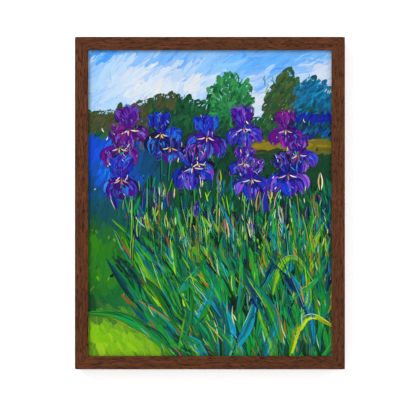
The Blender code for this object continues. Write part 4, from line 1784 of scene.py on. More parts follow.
    def stem(self, points: list[tuple[float, float]], width: float, palette: Palette = GREEN_LEAF) -> None:
        """A round stem with a lit side and a dark side.

        Args:
            points: its middle line, as shares of the opening.
            width: its width in millimetres.
            palette: its colours.
        """
        rng = self.stems.rng
        line = smooth_path(np.array([self.easel.at(*p) for p in points]), STEM_POINTS)
        side = sideways(line) * width
        self.stems.stroke(
            line + side * 0.3, width * 0.7, palette.pick(rng), EMERALD.pick(rng), head=0.05, tail=0.1,
            lift=0.4
        )
        self.stems.stroke(
            line - side * 0.3, width * 0.5, DEEP_LEAF.pick(rng), NIGHT.pick(rng), head=0.05, tail=0.1,
            lift=0.5
        )
        first = int(rng.integers(0, 6))
        self.stems.stroke(
            (line + side * 0.55)[first : first + 5], width * 0.24, LIME.pick(rng), PALE_EDGE.pick(rng),
            head=0.05, tail=0.2, lift=1.0
        )

    def bud(
        self, across: float, up: float, length: float, width: float, angle: float,
        body: tuple[Palette, ...], rim: Palette = BEARD
    ) -> None:
        """A papery sheath or a furled bud.

        Args:
            across: its foot's share of the width.
            up: its foot's share of the height.
            length: its length in millimetres.
            width: its width in millimetres.
            angle: the way it points, in degrees.
            body: the colours of its strokes.
            rim: the colours of its light side.
        """
        rng = self.stems.rng
        foot = self.easel.at(across, up)
        tip = foot + polar(angle, length)
        side = polar(angle + 90, width / 2)
        for lane in np.linspace(-0.8, 0.8, max(2, int(width / 2.4))):
            bulge = (foot + tip) / 2 + side * lane * 1.25
            palette = body[rng.integers(len(body))]
            self.stems.stroke(
                [foot + side * lane * 0.5, bulge, tip + side * lane * 0.15], max(2.0, width / 3),
                palette.pick(rng), body[0].pick(rng), head=0.1, tail=0.3, lift=0.9
            )
        self.stems.stroke(
            [foot + side * 0.6, (foot + tip) / 2 + side * 1.1, tip], 1.2, rim.pick(rng), PAPERY.pick(rng),
            lift=1.0, relief=1.3
        )

    def paint_stems(self) -> None:
        """The stems under the blooms, with their buds."""
        rng = self.stems.rng
        for bloom in BLOOMS:
            drop = rng.uniform(0.10, 0.17)
            drift = rng.normal(0, 0.012)
            self.stem(
                [
                    (bloom.across, bloom.up - 0.01), (bloom.across + drift, bloom.up - drop * 0.5),
                    (bloom.across + drift * 2.5, bloom.up - drop)
                ],
                rng.uniform(2.4, 3.6), (DEEP_LEAF, EMERALD, TEAL_LEAF, GREEN_LEAF)[rng.integers(4)]
            )
        for _ in range(46):
            across, foot = rng.uniform(0.15, 0.98), rng.uniform(0.28, 0.42)
            sway, rise = rng.normal(-0.012, 0.018), rng.uniform(0.09, 0.19)
            palette = (
                GREEN_LEAF, FEATHER, PAPERY, EMERALD, LIME, TURQUOISE, DEEP_LEAF, OCHRE
            )[rng.integers(8)]
            self.stem(
                [(across, foot), (across + sway * 0.4, foot + rise / 2), (across + sway, foot + rise)],
                rng.uniform(1.4, 2.8), palette
            )
        bodies = (
            (NIGHT, PURPLE_WARM, PAPERY), (BLUE_VIOLET, NIGHT, VIOLET), (PAPERY, GREEN_LEAF, RUST),
            (GREEN_LEAF, PAPERY, LIME),
            (TURQUOISE, PAPERY, GREEN_LEAF), (EMERALD, YELLOW_GREEN, PURPLE_WARM),
            (BEARD, OCHRE_LEAF, PAPERY),
        )
        for _ in range(36):
            across, up = rng.uniform(0.10, 0.97), rng.uniform(0.38, 0.56)
            body, rim = bodies[rng.integers(len(bodies))], (LILAC, BEARD, PALE_EDGE)[rng.integers(3)]
            self.bud(
                across, up, rng.uniform(20, 42), rng.uniform(4.5, 8.0), 93 + rng.normal(0, 7), body, rim
            )


class Irises:
    """The blooms."""

    def __init__(self, easel: Easel) -> None:
        """Starts the layers.

        Args:
            easel: where they are painted.
        """
        self.easel = easel
        self.petals = Layer("paint_irises", easel, 31, 0.55, 1.10, 0.32)
        self.lights = Layer("paint_iris_lights", easel, 32, 1.05, 1.30, 0.30)

    def petal(
        self, base: np.ndarray, tip: np.ndarray, width: float, bow: float, main: Palette, other: Palette,
        light: Palette, depth: float, frill: float = 0.10
    ) -> None:
        """One petal of strokes that fan out from its base along its veins.

        Args:
            base: where it starts, in millimetres.
            tip: its far end.
            width: its greatest width.
            bow: how far its middle line bends to the left, as a share of its length.
            main: its colours.
            other: the colours of its shaded part.
            light: the colours of its rim.
            depth: how high it lies among the petals, from 0 to 1.
            frill: how wavy its rim is.
        """
        rng = self.petals.rng
        axis = tip - base
        length = float(np.linalg.norm(axis))
        normal = np.array([-axis[1], axis[0]]) / max(length, 1e-6)
        line = smooth_path(np.array([base, base + axis * 0.5 + normal * bow * length, tip]), PETAL_POINTS)
        side = sideways(line)
        share = np.linspace(0, 1, PETAL_POINTS)
        profile = np.sin(np.pi * np.clip(share * 0.93 + 0.03, 0, 1) ** 1.25) ** 0.72
        half = width / 2
        veins = max(5, int(round(width / 3.05)))
        for lane in np.linspace(-0.92, 0.92, veins):
            reach = 1.0 - 0.24 * lane * lane + rng.normal(0, frill * 0.5)
            wave = frill * half * np.sin(share * 9 + lane * 4 + rng.random() * 6) * share
            run = line + side * (half * lane * profile + wave * 0.5)[:, None]
            last = int(np.clip(round(PETAL_POINTS * reach), 6, PETAL_POINTS))
            split = int(rng.integers(4, 7))
            dark = other if abs(lane) > 0.55 or rng.random() < 0.25 else main
            self.petals.stroke(
                run[: split + 1], width / veins * 1.7, dark.pick(rng), main.pick(rng), head=0.15, tail=0.3,
                lift=depth
            )
            outer = main if rng.random() < 0.74 else other if rng.random() < 0.6 else light
            self.petals.stroke(
                run[split - 1 : last], width / veins * 1.8, outer.pick(rng),
                (light if rng.random() < 0.35 else main).pick(rng), head=0.15, tail=0.45,
                lift=min(1.0, depth + 0.05)
            )
        for lane in (-1.0, 1.0):
            run = line + side * (half * lane * profile * 1.0)[:, None]
            start = int(rng.integers(0, 3))
            self.petals.stroke(
                run[start:10], 1.5, NIGHT.pick(rng), NIGHT.pick(rng), lift=min(1.0, depth + 0.1), tail=0.25
            )
        for lane in rng.uniform(-0.8, 0.8, 3 + int(width / 6)):
            run = line + side * (half * lane * profile)[:, None]
            start = int(rng.integers(1, 5))
            palette = NIGHT if rng.random() < 0.68 else light
            self.petals.stroke(
                run[start : start + 5], rng.uniform(0.9, 1.9), palette.pick(rng), palette.pick(rng),
                lift=min(1.0, depth + 0.16), tail=0.5
            )
        rim = [
            line[8] + side[8] * half * profile[8] * 0.9, tip + side[-1] * half * 0.35 + axis * 0.02,
            tip - side[-1] * half * 0.35 + axis * 0.02, line[8] - side[8] * half * profile[8] * 0.9
        ]
        if rng.random() < 0.6:
            self.lights.stroke(
                rim[:3] if rng.random() < 0.5 else rim[::-1][:3], 1.1, light.pick(rng), main.pick(rng),
                lift=0.3
            )
        for _ in range(int(width / 2.5)):
            spot = line[rng.integers(2, 10)] + side[5] * half * rng.uniform(-0.8, 0.8)
            reach = (axis / length + normal * rng.normal(0, 0.35)) * rng.uniform(1.2, 4.0)
            palette = (NIGHT, light, AZURE, GLEAM, MAGENTA, NIGHT, NIGHT)[rng.integers(7)]
            self.petals.stroke(
                [spot - reach, spot + reach], rng.uniform(0.8, 1.8), palette.pick(rng), main.pick(rng),
                lift=min(1.0, depth + 0.18)
            )

    def bloom(self, kind: Bloom, near: float) -> None:
        """One flower: falls, then standards, then beards and lights.

        Args:
            kind: its place, size and colours.
            near: how far it stands before the farthest bloom, from 0 to 1.
        """
        rng = self.petals.rng
        standard, fall, light = kind.theme.value
        throat = self.easel.at(kind.across, kind.up)
        span = kind.span_mm

        def spot(right: float, high: float) -> np.ndarray:
            """A place in the flower, in shares of its span from its throat."""
            return throat + turned(np.array([right, high]) * span, kind.lean)

        for angle in kind.falls:
            out = polar(-90 + angle, 1.0)
            drop = 0.62 * kind.fall * (1.0 if abs(angle) < 30 else 0.86)
            tip = spot(out[0] * drop * 1.02, out[1] * drop - 0.16 * (abs(angle) > 30))
            start = spot(out[0] * 0.06, -0.02)
            width = span * (0.46 if abs(angle) < 30 else 0.38) * min(1.1, kind.fall)
            bow = 0.16 * (1 if angle > 0 else -1) if abs(angle) > 10 else rng.normal(0, 0.05)
            self.petal(
                start, tip, width, bow, fall, NIGHT if rng.random() < 0.5 else standard, light,
                near + 0.1 * rng.random(), 0.16
            )
        height = 0.62 * kind.standard
        broad = span * 0.50
        self.petal(
            spot(-0.04, 0.0), spot(-0.30, height * 0.92), broad * 0.86, -0.16, standard, fall, light,
            near + 0.14
        )
        self.petal(
            spot(0.04, 0.0), spot(0.30, height * 0.92), broad * 0.86, 0.16, standard, fall, light,
            near + 0.16
        )
        self.petal(
            spot(0.0, -0.02), spot(rng.normal(0, 0.04), height * 1.04), broad * 0.98, rng.normal(0, 0.05),
            standard, fall if rng.random() < 0.6 else NIGHT, light, near + 0.26
        )
        for angle in kind.falls:
            out = polar(-90 + angle, 1.0)
            start, stop = spot(out[0] * 0.05, -0.03), spot(out[0] * 0.30, out[1] * 0.18 + 0.02)
            move = np.array([0.0, -0.02 * span])
            self.lights.stroke(
                [start + move, (start + stop) / 2 + move * 1.6, stop + move], 1.9, BEARD.pick(rng),
                (RUST if rng.random() < 0.5 else BEARD).pick(rng), lift=0.7, tail=0.4
            )
            if rng.random() < 0.55:
                glow = spot(out[0] * 0.34, out[1] * 0.26)
                self.lights.stroke(
                    [glow, glow + polar(-90 + angle, span * 0.16)], 2.8, AZURE.pick(rng), light.pick(rng),
                    lift=0.3
                )
        self.lights.stroke(
            [spot(-0.02, -0.20), spot(0.0, -0.08), spot(0.01, 0.02)], 2.2, RUST.pick(rng), PAPERY.pick(rng),
            lift=0.6
        )
        for _ in range(4):
            angle = rng.uniform(50, 130)
            start = spot(rng.normal(0, 0.14), rng.uniform(0.12, 0.34) * kind.standard)
            self.lights.stroke(
                [start, start + polar(angle, span * rng.uniform(0.10, 0.2))], rng.uniform(1.0, 1.8),
                light.pick(rng), standard.pick(rng), lift=0.4, tail=0.5
            )

    def paint(self) -> None:
        """All the blooms, the far ones first."""
        for order, kind in enumerate(BLOOMS):
            self.bloom(kind, 0.62 * order / len(BLOOMS))
        rng = self.lights.rng
        for _ in range(260):
            kind = BLOOMS[rng.integers(len(BLOOMS))]
            spot = self.easel.at(kind.across, kind.up) + rng.normal(0, kind.span_mm * 0.27, 2)
            reach = polar(rng.uniform(40, 140), rng.uniform(1.5, 5.0))
            palette = (AZURE, GLEAM, NIGHT, TURQUOISE, NIGHT, GREEN_LEAF, BEARD, LILAC)[rng.integers(8)]
            self.lights.stroke(
                [spot - reach, spot + rng.normal(0, 0.8, 2), spot + reach], rng.uniform(0.8, 2.0),
                palette.pick(rng), palette.pick(rng), lift=rng.random()
            )


@dataclass
class Painting:
    """The painted face: a thin ground, and the strokes on it."""

    easel: Easel
    cloth_width: float
    cloth_height: float
    thickness: float = 0.0004
    columns: int = 96
    rows: int = 120

    def ground(self, backdrop: Backdrop, material: bpy.types.Material) -> bpy.types.Object:
        """A closed thin slab, tinted place by place and a little uneven.

        Args:
            backdrop: knows the colours.
            material: the paint.

        Returns:
            The finished piece.
        """
        rng = np.random.default_rng(5)
        work = bmesh.new()
        tint, two = (work.verts.layers.float_color.new(n) for n in ("tint", "tint_two"))
        stroke, across = work.verts.layers.float_vector.new("stroke"), work.verts.layers.float.new("across")
        grids = []
        for depth in (0, 1):
            grid = []
            for row in range(self.rows + 1):
                line = []
                for column in range(self.columns + 1):
                    x = (column / self.columns - 0.5) * self.cloth_width
                    z = (row / self.rows - 0.5) * self.cloth_height
                    u, v = x / (self.easel.width_mm * MM) + 0.5, z / (self.easel.height_mm * MM) + 0.5
                    rough = rng.uniform(0, 0.00006) if depth == 0 else 0
                    y = self.easel.face_y + (self.thickness if depth else rough)
                    vert = work.verts.new((self.easel.middle.x + x, y, self.easel.middle.z + z))
                    colour = backdrop.under(min(max(u, 0), 1), min(max(v, 0), 1), rng)
                    vert[tint], vert[two] = opaque(colour), opaque(colour * rng.uniform(0.7, 1.2))
                    vert[stroke], vert[across] = (z, 0.5, 1.0), x * 60
                    line.append(vert)
                grid.append(line)
            grids.append(grid)
        for grid, flip in ((grids[0], False), (grids[1], True)):
            for low, high in zip(grid, grid[1:]):
                for a, b, c, d in zip(low, low[1:], high[1:], high):
                    work.faces.new((d, c, b, a) if flip else (a, b, c, d))
        front, back = (
            grid[0] + [r[-1] for r in grid[1:-1]] + grid[-1][::-1] + [r[0] for r in grid[1:-1]][::-1]
            for grid in grids
        )
        for i in range(len(front)):
            j = (i + 1) % len(front)
            work.faces.new((front[j], front[i], back[i], back[j]))
        bmesh.ops.recalc_face_normals(work, faces=work.faces)
        mesh = bpy.data.meshes.new("paint_ground")
        work.to_mesh(mesh)
        work.free()
        mesh.materials.append(material)
        piece = bpy.data.objects.new("paint_ground", mesh)
        bpy.context.scene.collection.objects.link(piece)
        return put(piece, "oil_paint", "paint_layer")

    def build(self, effects: Effects) -> None:
        """Paints the picture from the back to the front.

        Args:
            effects: the shared shader groups.
        """
        thin = PaintFinish("thin_oil", 0.5, 0.75, 0.6).material(effects)
        full = PaintFinish("full_oil", 0.4, 0.8, 0.1).material(effects)
        backdrop, foliage, irises = Backdrop(self.easel), Foliage(self.easel), Irises(self.easel)
        self.ground(backdrop, thin)
        backdrop.paint_sky()
        backdrop.paint_trees()
        backdrop.paint_meadow()
        foliage.paint_back()
        foliage.paint_middle()
        foliage.paint_stems()
        foliage.paint_front()
        irises.paint()
        tree = stroke_tree()
        for layer in (backdrop.sky, backdrop.trees, backdrop.meadow):
            layer.build(tree, thin)
        for layer in (
            foliage.back, foliage.middle, foliage.stems, foliage.front, irises.petals, irises.lights
        ):
            layer.build(tree, full)


# ---------------------------------------------------------------------------------------------
# Studio
# ---------------------------------------------------------------------------------------------


@dataclass
class Studio:
    """A white wall, a pale floor, soft lights and the camera."""

    middle: Vector
    front_y: float
    lens: float = 120.0
    distance: float = 2.2507
    aside: float = -0.0031
    above: float = 0.0026
    ambient: float = 0.5
    ambient_seen: float = 0.92
    wall_y: float = 0.0062
    wall_half: float = 0.8
    floor_half: float = 2.5
    floor_drop: float = 0.62

    def camera(self) -> None:
        """Looks straight at the picture."""
        data = bpy.data.cameras.new("camera")
        data.lens, data.sensor_width = self.lens, 36.0
        camera = bpy.data.objects.new("camera", data)
        camera.location = (
            self.middle.x + self.aside, self.front_y - self.distance, self.middle.z + self.above
        )
        camera.rotation_euler = (math.pi / 2, 0, 0)
        bpy.context.scene.collection.objects.link(camera)
        bpy.context.scene.camera = camera

    def light(self, name: str, place: tuple[float, float, float], size: float, power: float) -> None:
        """A square soft light that faces the picture.

        Args:
            name: its name.
            place: where it is, from the picture's middle.
            size: its side.
            power: its watts.
        """
        data = bpy.data.lights.new(name, "AREA")
        data.shape, data.size, data.energy = "SQUARE", size, power
        lamp = bpy.data.objects.new(name, data)
        lamp.location = self.middle + Vector(place)
        lamp.rotation_euler = (-Vector(place)).to_track_quat("-Z", "Y").to_euler()
        bpy.context.scene.collection.objects.link(lamp)

    def backdrop_material(
        self, name: str, colour: np.ndarray, glow: float, see_through: bool
    ) -> bpy.types.Material:
        """A plain pale finish.

        Args:
            name: its name.
            colour: its colour.
            glow: how much light it gives off.
            see_through: whether its back and its effect on other things are left out.

        Returns:
            The material.
        """
        made = Surface(
            name,
            {
                "Roughness": 0.9, "Specular IOR Level": 0.0, "Emission Strength": glow,
                "Base Color": opaque(colour), "Emission Color": opaque(colour)
            }
        )
        if see_through:
            clear = made.wire.add("ShaderNodeBsdfTransparent").outputs[0]
            seen = made.wire.add("ShaderNodeLightPath").outputs["Is Camera Ray"]
            back = made.wire.add("ShaderNodeNewGeometry").outputs["Backfacing"]
            hide = made.wire.math("MAXIMUM", back, made.wire.math("SUBTRACT", 1.0, seen))
            mixed = made.wire.add(
                "ShaderNodeMixShader", {0: hide, 1: made.shader.outputs[0], 2: clear}
            ).outputs[0]
            end = next(n for n in made.material.node_tree.nodes if n.type == "OUTPUT_MATERIAL")
            made.material.node_tree.links.new(mixed, end.inputs["Surface"])
        return made.material

    def plane(
        self, name: str, corners: list[tuple[float, float, float]], material: bpy.types.Material
    ) -> None:
        """A flat stage surface.

        Args:
            name: its name.
            corners: its corners, anticlockwise as seen from its front.
            material: its finish.
        """
        mesh = bpy.data.meshes.new(name)
        mesh.from_pydata(corners, [], [tuple(range(len(corners)))])
        mesh.materials.append(material)
        piece = bpy.data.objects.new(name, mesh)
        bpy.context.scene.collection.objects.link(piece)

    def build(self) -> None:
        """Sets everything up."""
        self.camera()
        world = bpy.data.worlds.new("studio")
        world.use_nodes = True
        wire, sky = Wiring(world.node_tree), world.node_tree.nodes["Background"]
        sky.inputs[0].default_value = (1.0, 1.0, 1.0, 1.0)
        seen = wire.add("ShaderNodeLightPath").outputs["Is Camera Ray"]
        world.node_tree.links.new(wire.ramp(seen, 0.0, 1.0, self.ambient, self.ambient_seen), sky.inputs[1])
        bpy.context.scene.world = world
        self.light("key", (-1.5, -1.9, 1.7), 1.3, 49)
        self.light("fill", (1.9, -1.7, 0.2), 1.6, 14)
        x, z, y, half = self.middle.x, self.middle.z, self.wall_y, self.wall_half
        wall = self.backdrop_material("wall_white", np.array([0.9, 0.9, 0.9]), 0.5, True)
        self.plane(
            "wall",
            [
                (x - half, y, z - half), (x + half, y, z - half), (x + half, y, z + half),
                (x - half, y, z + half)
            ],
            wall
        )
        floor = self.backdrop_material("floor_pale", np.array([0.82, 0.82, 0.81]), 0.0, False)
        low, half = z - self.floor_drop, self.floor_half
        self.plane(
            "floor",
            [(x - half, -half, low), (x + half, -half, low), (x + half, half, low), (x - half, half, low)],
            floor
        )
        bpy.context.scene.view_settings.view_transform = "Standard"


# ---------------------------------------------------------------------------------------------
# The object
# ---------------------------------------------------------------------------------------------


def coat(node: str, material: bpy.types.Material) -> None:
    """Gives a CAD node a finish."""
    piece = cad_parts[node]
    piece.data.materials.clear()
    piece.data.materials.append(material)


@dataclass
class Frame:
    """The four mitred rails and their nails, which the CAD shapes."""

    wood: WoodFinish
    steel: MetalFinish

    def dress(self, effects: Effects) -> None:
        """Gives each rail grain that runs along it.

        Args:
            effects: the shared shader groups.
        """
        for number, side in enumerate(SIDES):
            coat(f"frame_rail_{side.value}", self.wood.material(effects, side.grain, 0.37 * (number + 1)))
        steel = self.steel.material(effects)
        for corner in CORNERS:
            coat(f"frame_nail_{corner}", steel)


@dataclass
class Stretcher:
    """The pine bars and beech keys that the cloth is stretched on."""

    pine: WoodFinish
    beech: WoodFinish

    def dress(self, effects: Effects) -> None:
        """Gives each bar and key its wood.

        Args:
            effects: the shared shader groups.
        """
        for number, side in enumerate(SIDES):
            coat(
                f"stretcher_bar_{side.value}", self.pine.material(effects, side.grain, 0.61 * (number + 1))
            )
        level, upright = (self.beech.material(effects, grain, 0.29) for grain in Grain)
        for corner in CORNERS:
            coat(f"stretcher_key_{corner}_level", level)
            coat(f"stretcher_key_{corner}_upright", upright)


@dataclass
class Fittings:
    """Clips, hangers, screws and bumpers on the back."""

    clip: MetalFinish
    screw: MetalFinish
    hanger: MetalFinish
    rubber: RubberFinish

    def dress(self, effects: Effects) -> None:
        """Gives each fitting its finish.

        Args:
            effects: the shared shader groups.
        """
        clip, screw, hanger, rubber = (
            f.material(effects) for f in (self.clip, self.screw, self.hanger, self.rubber)
        )
        for side in SIDES:
            for number in (1, 2):
                coat(f"clip_{side.value}_{number}", clip)
                coat(f"clip_screw_{side.value}_{number}", screw)
        for hand in ("left", "right"):
            coat(f"hanger_strap_{hand}", hanger)
            coat(f"hanging_ring_{hand}", hanger)
            coat(f"hanger_screw_{hand}_1", screw)
            coat(f"hanger_screw_{hand}_2", screw)
            coat(f"wall_bumper_{hand}", rubber)


@dataclass
class Canvas:
    """Primed cloth, drawn over the stretcher, turned behind it and folded at the corners."""

    low: Vector
    high: Vector
    turnover: float = 0.022
    thickness: float = 0.0005
    bend: float = 0.0012
    pitch: float = 0.008
    ripple: float = 0.0003
    staple_pitch: float = 0.05

    def __post_init__(self) -> None:
        """Works out the cloth's half sizes and its middle."""
        self.half_x = (self.high.x - self.low.x) / 2
        self.half_z = (self.high.z - self.low.z) / 2
        self.middle = (self.low + self.high) / 2

    def rings(self) -> list[tuple[float, float]]:
        """The cloth's run from the edge of its face to its raw edge.

        Returns:
            How far in from the outer edge, and the depth, of each ring.
        """
        front, back, r = self.low.y - 0.0002, self.high.y - self.thickness, self.bend
        turn = [math.radians(a) for a in (0, 22.5, 45, 67.5, 90)]
        rings = [(r * (1 - math.sin(a)), front + r * (1 - math.cos(a))) for a in turn]
        rings += [(0.0, front + (back - front) * share) for share in (0.25, 0.5, 0.75)]
        rings += [(r * (1 - math.cos(a)), back - r * (1 - math.sin(a))) for a in turn]
        rings += [(inset, back) for inset in np.linspace(r * 2, self.turnover, 8)]
        return rings

    def wave(self, along: float) -> float:
        """How far the turned cloth stands off the bar between staples, from 0 to 1."""
        return math.cos(math.pi * along / self.staple_pitch) ** 2

    def cloth(self) -> bpy.types.Object:
        """The cloth as one skin, with its flat coordinates.

        Returns:
            The skin, before it is thickened.
        """
        rng = np.random.default_rng(7)
        work = bmesh.new()
        flat = work.loops.layers.uv.new(CLOTH_UV)
        where = {}
        columns, rows = (2 * int(round(half / self.pitch)) for half in (self.half_x, self.half_z))
        rings = self.rings()
        inner_x, inner_z = self.half_x - self.bend, self.half_z - self.bend

        def corner(x: float, y: float, z: float, u: float, v: float) -> bmesh.types.BMVert:
            """One point of the cloth, and where it lay before it was hung."""
            vert = work.verts.new((self.middle.x + x, y, self.middle.z + z))
            where[vert] = (u, v)
            return vert

        spots = [
            [(inner_x * (2 * c / columns - 1), inner_z * (2 * r / rows - 1)) for c in range(columns + 1)]
            for r in range(rows + 1)
        ]
        grid = [[corner(x, rings[0][1], z, x, z) for x, z in line] for line in spots]
        for low, high in zip(grid, grid[1:]):
            for a, b, c, d in zip(low, low[1:], high[1:], high):
                work.faces.new((a, b, c, d))
        right, left = ([line[end] for line in grid[1:-1]] for end in (-1, 0))
        edge = grid[0] + right + grid[-1][::-1] + left[::-1]
        bases = [where[vert] for vert in edge]
        fray = np.convolve(rng.normal(0, 0.0006, len(edge) + 4), np.ones(5) / 5, "valid")
        before, gone, last = edge, 0.0, rings[0]
        for number, ring in enumerate(rings[1:], 1):
            gone += math.hypot(ring[0] - last[0], ring[1] - last[1])
            share = max(
                0.0, (ring[0] - 2 * self.bend) / (self.turnover - 2 * self.bend)
            ) if number > 12 else 0.0
            row = []
            for place, (x, z) in enumerate(bases):
                inset = ring[0] + (fray[place] if number == len(rings) - 1 else 0.0)
                sx, sz = x / inner_x, z / inner_z
                along = x if abs(sz) > abs(sx) else z
                lift = self.ripple * self.wave(along) * share
                row.append(
                    corner(
                        sx * (self.half_x - inset), ring[1] + lift, sz * (self.half_z - inset),
                        x + sx * gone, z + sz * gone
                    )
                )
            for i, _ in enumerate(row):
                j = (i + 1) % len(row)
                work.faces.new((before[i], row[i], row[j], before[j]))
            before, last = row, ring
        bmesh.ops.recalc_face_normals(work, faces=work.faces)
        for face in work.faces:
            for loop in face.loops:
                loop[flat].uv = where[loop.vert]
        mesh = bpy.data.meshes.new("cloth_skin")
        work.to_mesh(mesh)
        work.free()
        return self.shown("cloth_skin", mesh)

    def shown(self, name: str, mesh: bpy.types.Mesh) -> bpy.types.Object:
        """A mesh as an object in the scene."""
        piece = bpy.data.objects.new(name, mesh)
        bpy.context.scene.collection.objects.link(piece)
        return piece

    def thickened(
        self, name: str, skin: bpy.types.Object, material: bpy.types.Material
    ) -> bpy.types.Object:
        """Gives a skin its thickness on the inner side.

        Args:
            name: the finished piece's name.
            skin: the skin.
            material: its finish.

        Returns:
            The finished piece.
        """
        skin.data.materials.append(material)
        solid = skin.modifiers.new("thickness", "SOLIDIFY")
        solid.thickness, solid.offset = self.thickness, -1.0
        piece = settled(name, skin)
        piece.data.shade_smooth()
        return put(piece, "canvas_cloth", *(["canvas"] if name == "canvas_wrap" else []))

    def fold(self, corner: str, right: int, up: int, material: bpy.types.Material) -> bpy.types.Object:
        """The three-cornered flap where the cloth is folded over itself behind a corner.

        Args:
            corner: the corner's name.
            right: 1 at the right, -1 at the left.
            up: 1 at the top, -1 at the bottom.
            material: the cloth.

        Returns:
            The finished piece.
        """
        work = bmesh.new()
        flat = work.loops.layers.uv.new(CLOTH_UV)
        steps, reach, start = 8, self.turnover - 0.002, 0.0012
        lines = []
        for row in range(steps + 1):
            line = []
            for column in range(row + 1):
                away, down = reach * row / steps, reach * column / steps
                raised = 0.0007 * math.sin(math.pi * row / steps) * (0.4 + 0.6 * column / max(row, 1))
                spot = (
                    self.middle.x + right * (self.half_x - start - away), self.high.y - 0.0002 + raised,
                    self.middle.z + up * (self.half_z - start - down)
                )
                line.append(work.verts.new(spot))
            lines.append(line)
        for row in range(steps):
            upper, lower = lines[row], lines[row + 1]
            for column in range(row + 1):
                work.faces.new((upper[column], lower[column], lower[column + 1]))
                if column < row:
                    work.faces.new((upper[column], lower[column + 1], upper[column + 1]))
        bmesh.ops.recalc_face_normals(work, faces=work.faces)
        if sum(face.normal.y for face in work.faces) < 0:
            bmesh.ops.reverse_faces(work, faces=work.faces)
        for face in work.faces:
            for loop in face.loops:
                loop[flat].uv = (loop.vert.co.x, loop.vert.co.z)
        mesh = bpy.data.meshes.new("fold_skin")
        work.to_mesh(mesh)
        work.free()
        return self.thickened(f"canvas_fold_{corner}", self.shown("fold_skin", mesh), material)

    def build(self, effects: Effects, finish: ClothFinish) -> None:
        """Args:
            effects: the shared shader groups.
            finish: what the cloth is.
        """
        material = finish.material(effects)
        wrap = self.thickened("canvas_wrap", self.cloth(), material)
        folds = [
            self.fold(f"{up}_{hand}", x, z, material) for up, z in (("top", 1), ("bottom", -1))
            for hand, x in (("left", -1), ("right", 1))
        ]


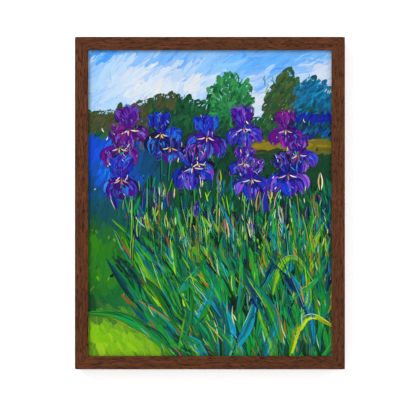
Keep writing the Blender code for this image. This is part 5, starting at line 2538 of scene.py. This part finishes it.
@dataclass
class Staples:
    """Wire staples that hold the turned cloth to the bars."""

    canvas: Canvas
    inset: float = 0.0115
    crown: float = 0.010
    wire: float = 0.00075
    seed: int = 3

    def tree(self) -> bpy.types.NodeTree:
        """The tree that stands a staple on each point.

        Returns:
            The Geometry Nodes tree.
        """
        sockets = [
            ("Geometry", GEOMETRY, None), ("Steel", MATERIAL, None), ("Crown", FLOAT, 0.01),
            ("Wire", FLOAT, 0.0007), ("Skew", FLOAT, 0.07), ("Seed", WHOLE, 1)
        ]
        group = NodeGroup("drive staples", "GeometryNodeTree", sockets, [("Geometry", GEOMETRY)])
        wire, given = group.wiring, group.start
        leg = wire.math("MULTIPLY", given["Wire"], 4.0)
        loop = wire.add(
            "GeometryNodeCurvePrimitiveQuadrilateral", {"Width": given["Crown"], "Height": leg}
        ).outputs[0]
        loop = wire.add(
            "GeometryNodeFilletCurve",
            {"Curve": loop, "Count": 3, "Radius": given["Wire"], "Limit Radius": True}, mode="POLY"
        ).outputs[0]
        section = wire.add(
            "GeometryNodeCurvePrimitiveCircle",
            {"Resolution": 8, "Radius": wire.math("MULTIPLY", given["Wire"], 0.5)}
        ).outputs[0]
        staple = wire.add("GeometryNodeCurveToMesh", {"Curve": loop, "Profile Curve": section}).outputs[0]
        turn = wire.named("turn")
        skew = wire.add(
            "FunctionNodeRandomValue",
            {2: wire.math("MULTIPLY", given["Skew"], -1.0), 3: given["Skew"], "Seed": given["Seed"]},
            data_type="FLOAT"
        ).outputs[1]
        angles = wire.add("ShaderNodeCombineXYZ", {"Y": wire.math("ADD", turn, skew)}).outputs[0]
        rotation = wire.add("FunctionNodeEulerToRotation", {0: angles}).outputs[0]
        placed = wire.add(
            "GeometryNodeInstanceOnPoints",
            {"Points": given["Geometry"], "Instance": staple, "Rotation": rotation}
        ).outputs[0]
        placed = wire.add("GeometryNodeRealizeInstances", {"Geometry": placed}).outputs[0]
        group.give(
            "Geometry",
            wire.add("GeometryNodeSetMaterial", {"Geometry": placed, "Material": given["Steel"]}).outputs[0]
        )
        return group.tree

    def build(self, effects: Effects, steel: MetalFinish) -> None:
        """Drives the staples.

        Args:
            effects: the shared shader groups.
            steel: their finish.
        """
        cloth = self.canvas
        y = cloth.high.y - 1.1 * self.wire
        spots, turns = [], []
        for half, other, level in ((cloth.half_x, cloth.half_z, True), (cloth.half_z, cloth.half_x, False)):
            count = int((half - 0.02) / cloth.staple_pitch)
            for along in (np.arange(-count, count) + 0.5) * cloth.staple_pitch:
                for side in (-1, 1):
                    off = side * (other - self.inset)
                    spots.append(
                        (
                            cloth.middle.x + (along if level else off), y,
                            cloth.middle.z + (off if level else along)
                        )
                    )
                    turns.append(0.0 if level else math.pi / 2)
        for right in (-1, 1):
            for up in (-1, 1):
                spots.append(
                    (
                        cloth.middle.x + right * (cloth.half_x - 0.015), y + 0.0006,
                        cloth.middle.z + up * (cloth.half_z - 0.008)
                    )
                )
                turns.append(0.0)
        mesh = bpy.data.meshes.new("staple_spots")
        mesh.from_pydata(spots, [], [])
        mesh.attributes.new("turn", "FLOAT", "POINT").data.foreach_set("value", np.array(turns, np.float32))
        values = {
            "Steel": steel.material(effects), "Crown": self.crown, "Wire": self.wire, "Seed": self.seed
        }
        piece = run_tree("staples", mesh, self.tree(), values)
        piece.data.shade_smooth()
        put(piece, "screw_steel")


def main() -> None:
    """Builds and dresses the picture from its face to its back."""
    effects = Effects()
    rail_low, rail_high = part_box("frame_rail_left")
    middle = Vector((0.0, 0.0, (rail_low.z + rail_high.z) / 2))
    canvas = Canvas(*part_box("canvas"))
    easel = Easel(OPENING_WIDTH_MM, OPENING_HEIGHT_MM, middle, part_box("paint_layer")[0].y)
    Painting(easel, 2 * canvas.half_x, 2 * canvas.half_z).build(effects)
    canvas.build(effects, ClothFinish("primed_cotton", pigment(222, 210, 184), pigment(150, 134, 106)))
    Staples(canvas).build(
        effects, MetalFinish("staple_steel", pigment(188, 190, 192), pigment(120, 116, 108), 0.34, 0.4)
    )
    walnut = WoodFinish(
        "walnut_stain", pigment(118, 65, 31), pigment(78, 39, 17), pigment(30, 14, 8), 320.0, 1500.0, 0.9,
        0.5, 0.05
    )
    Frame(
        walnut, MetalFinish("nail_steel", pigment(150, 150, 150), pigment(84, 76, 68), 0.42, 0.6)
    ).dress(effects)
    pine = WoodFinish(
        "pine", pigment(226, 192, 140), pigment(198, 150, 96), pigment(150, 100, 60), 150.0, 1500.0, 0.25,
        0.6
    )
    beech = WoodFinish(
        "beech", pigment(214, 172, 126), pigment(188, 140, 96), pigment(120, 78, 50), 240.0, 2400.0, 0.6,
        0.55
    )
    Stretcher(pine, beech).dress(effects)
    zinc = MetalFinish("clip_zinc", pigment(176, 180, 184), pigment(130, 134, 140), 0.36, 0.6)
    screw = MetalFinish("screw_zinc", pigment(190, 188, 176), pigment(126, 118, 96), 0.3, 0.5)
    nickel = MetalFinish("hanger_nickel", pigment(198, 190, 176), pigment(146, 134, 114), 0.24, 0.45)
    Fittings(zinc, screw, nickel, RubberFinish("bumper_rubber", pigment(44, 44, 46))).dress(effects)
    Studio(middle, rail_low.y).build()
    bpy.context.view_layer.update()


if __name__ == "__main__":
    main()
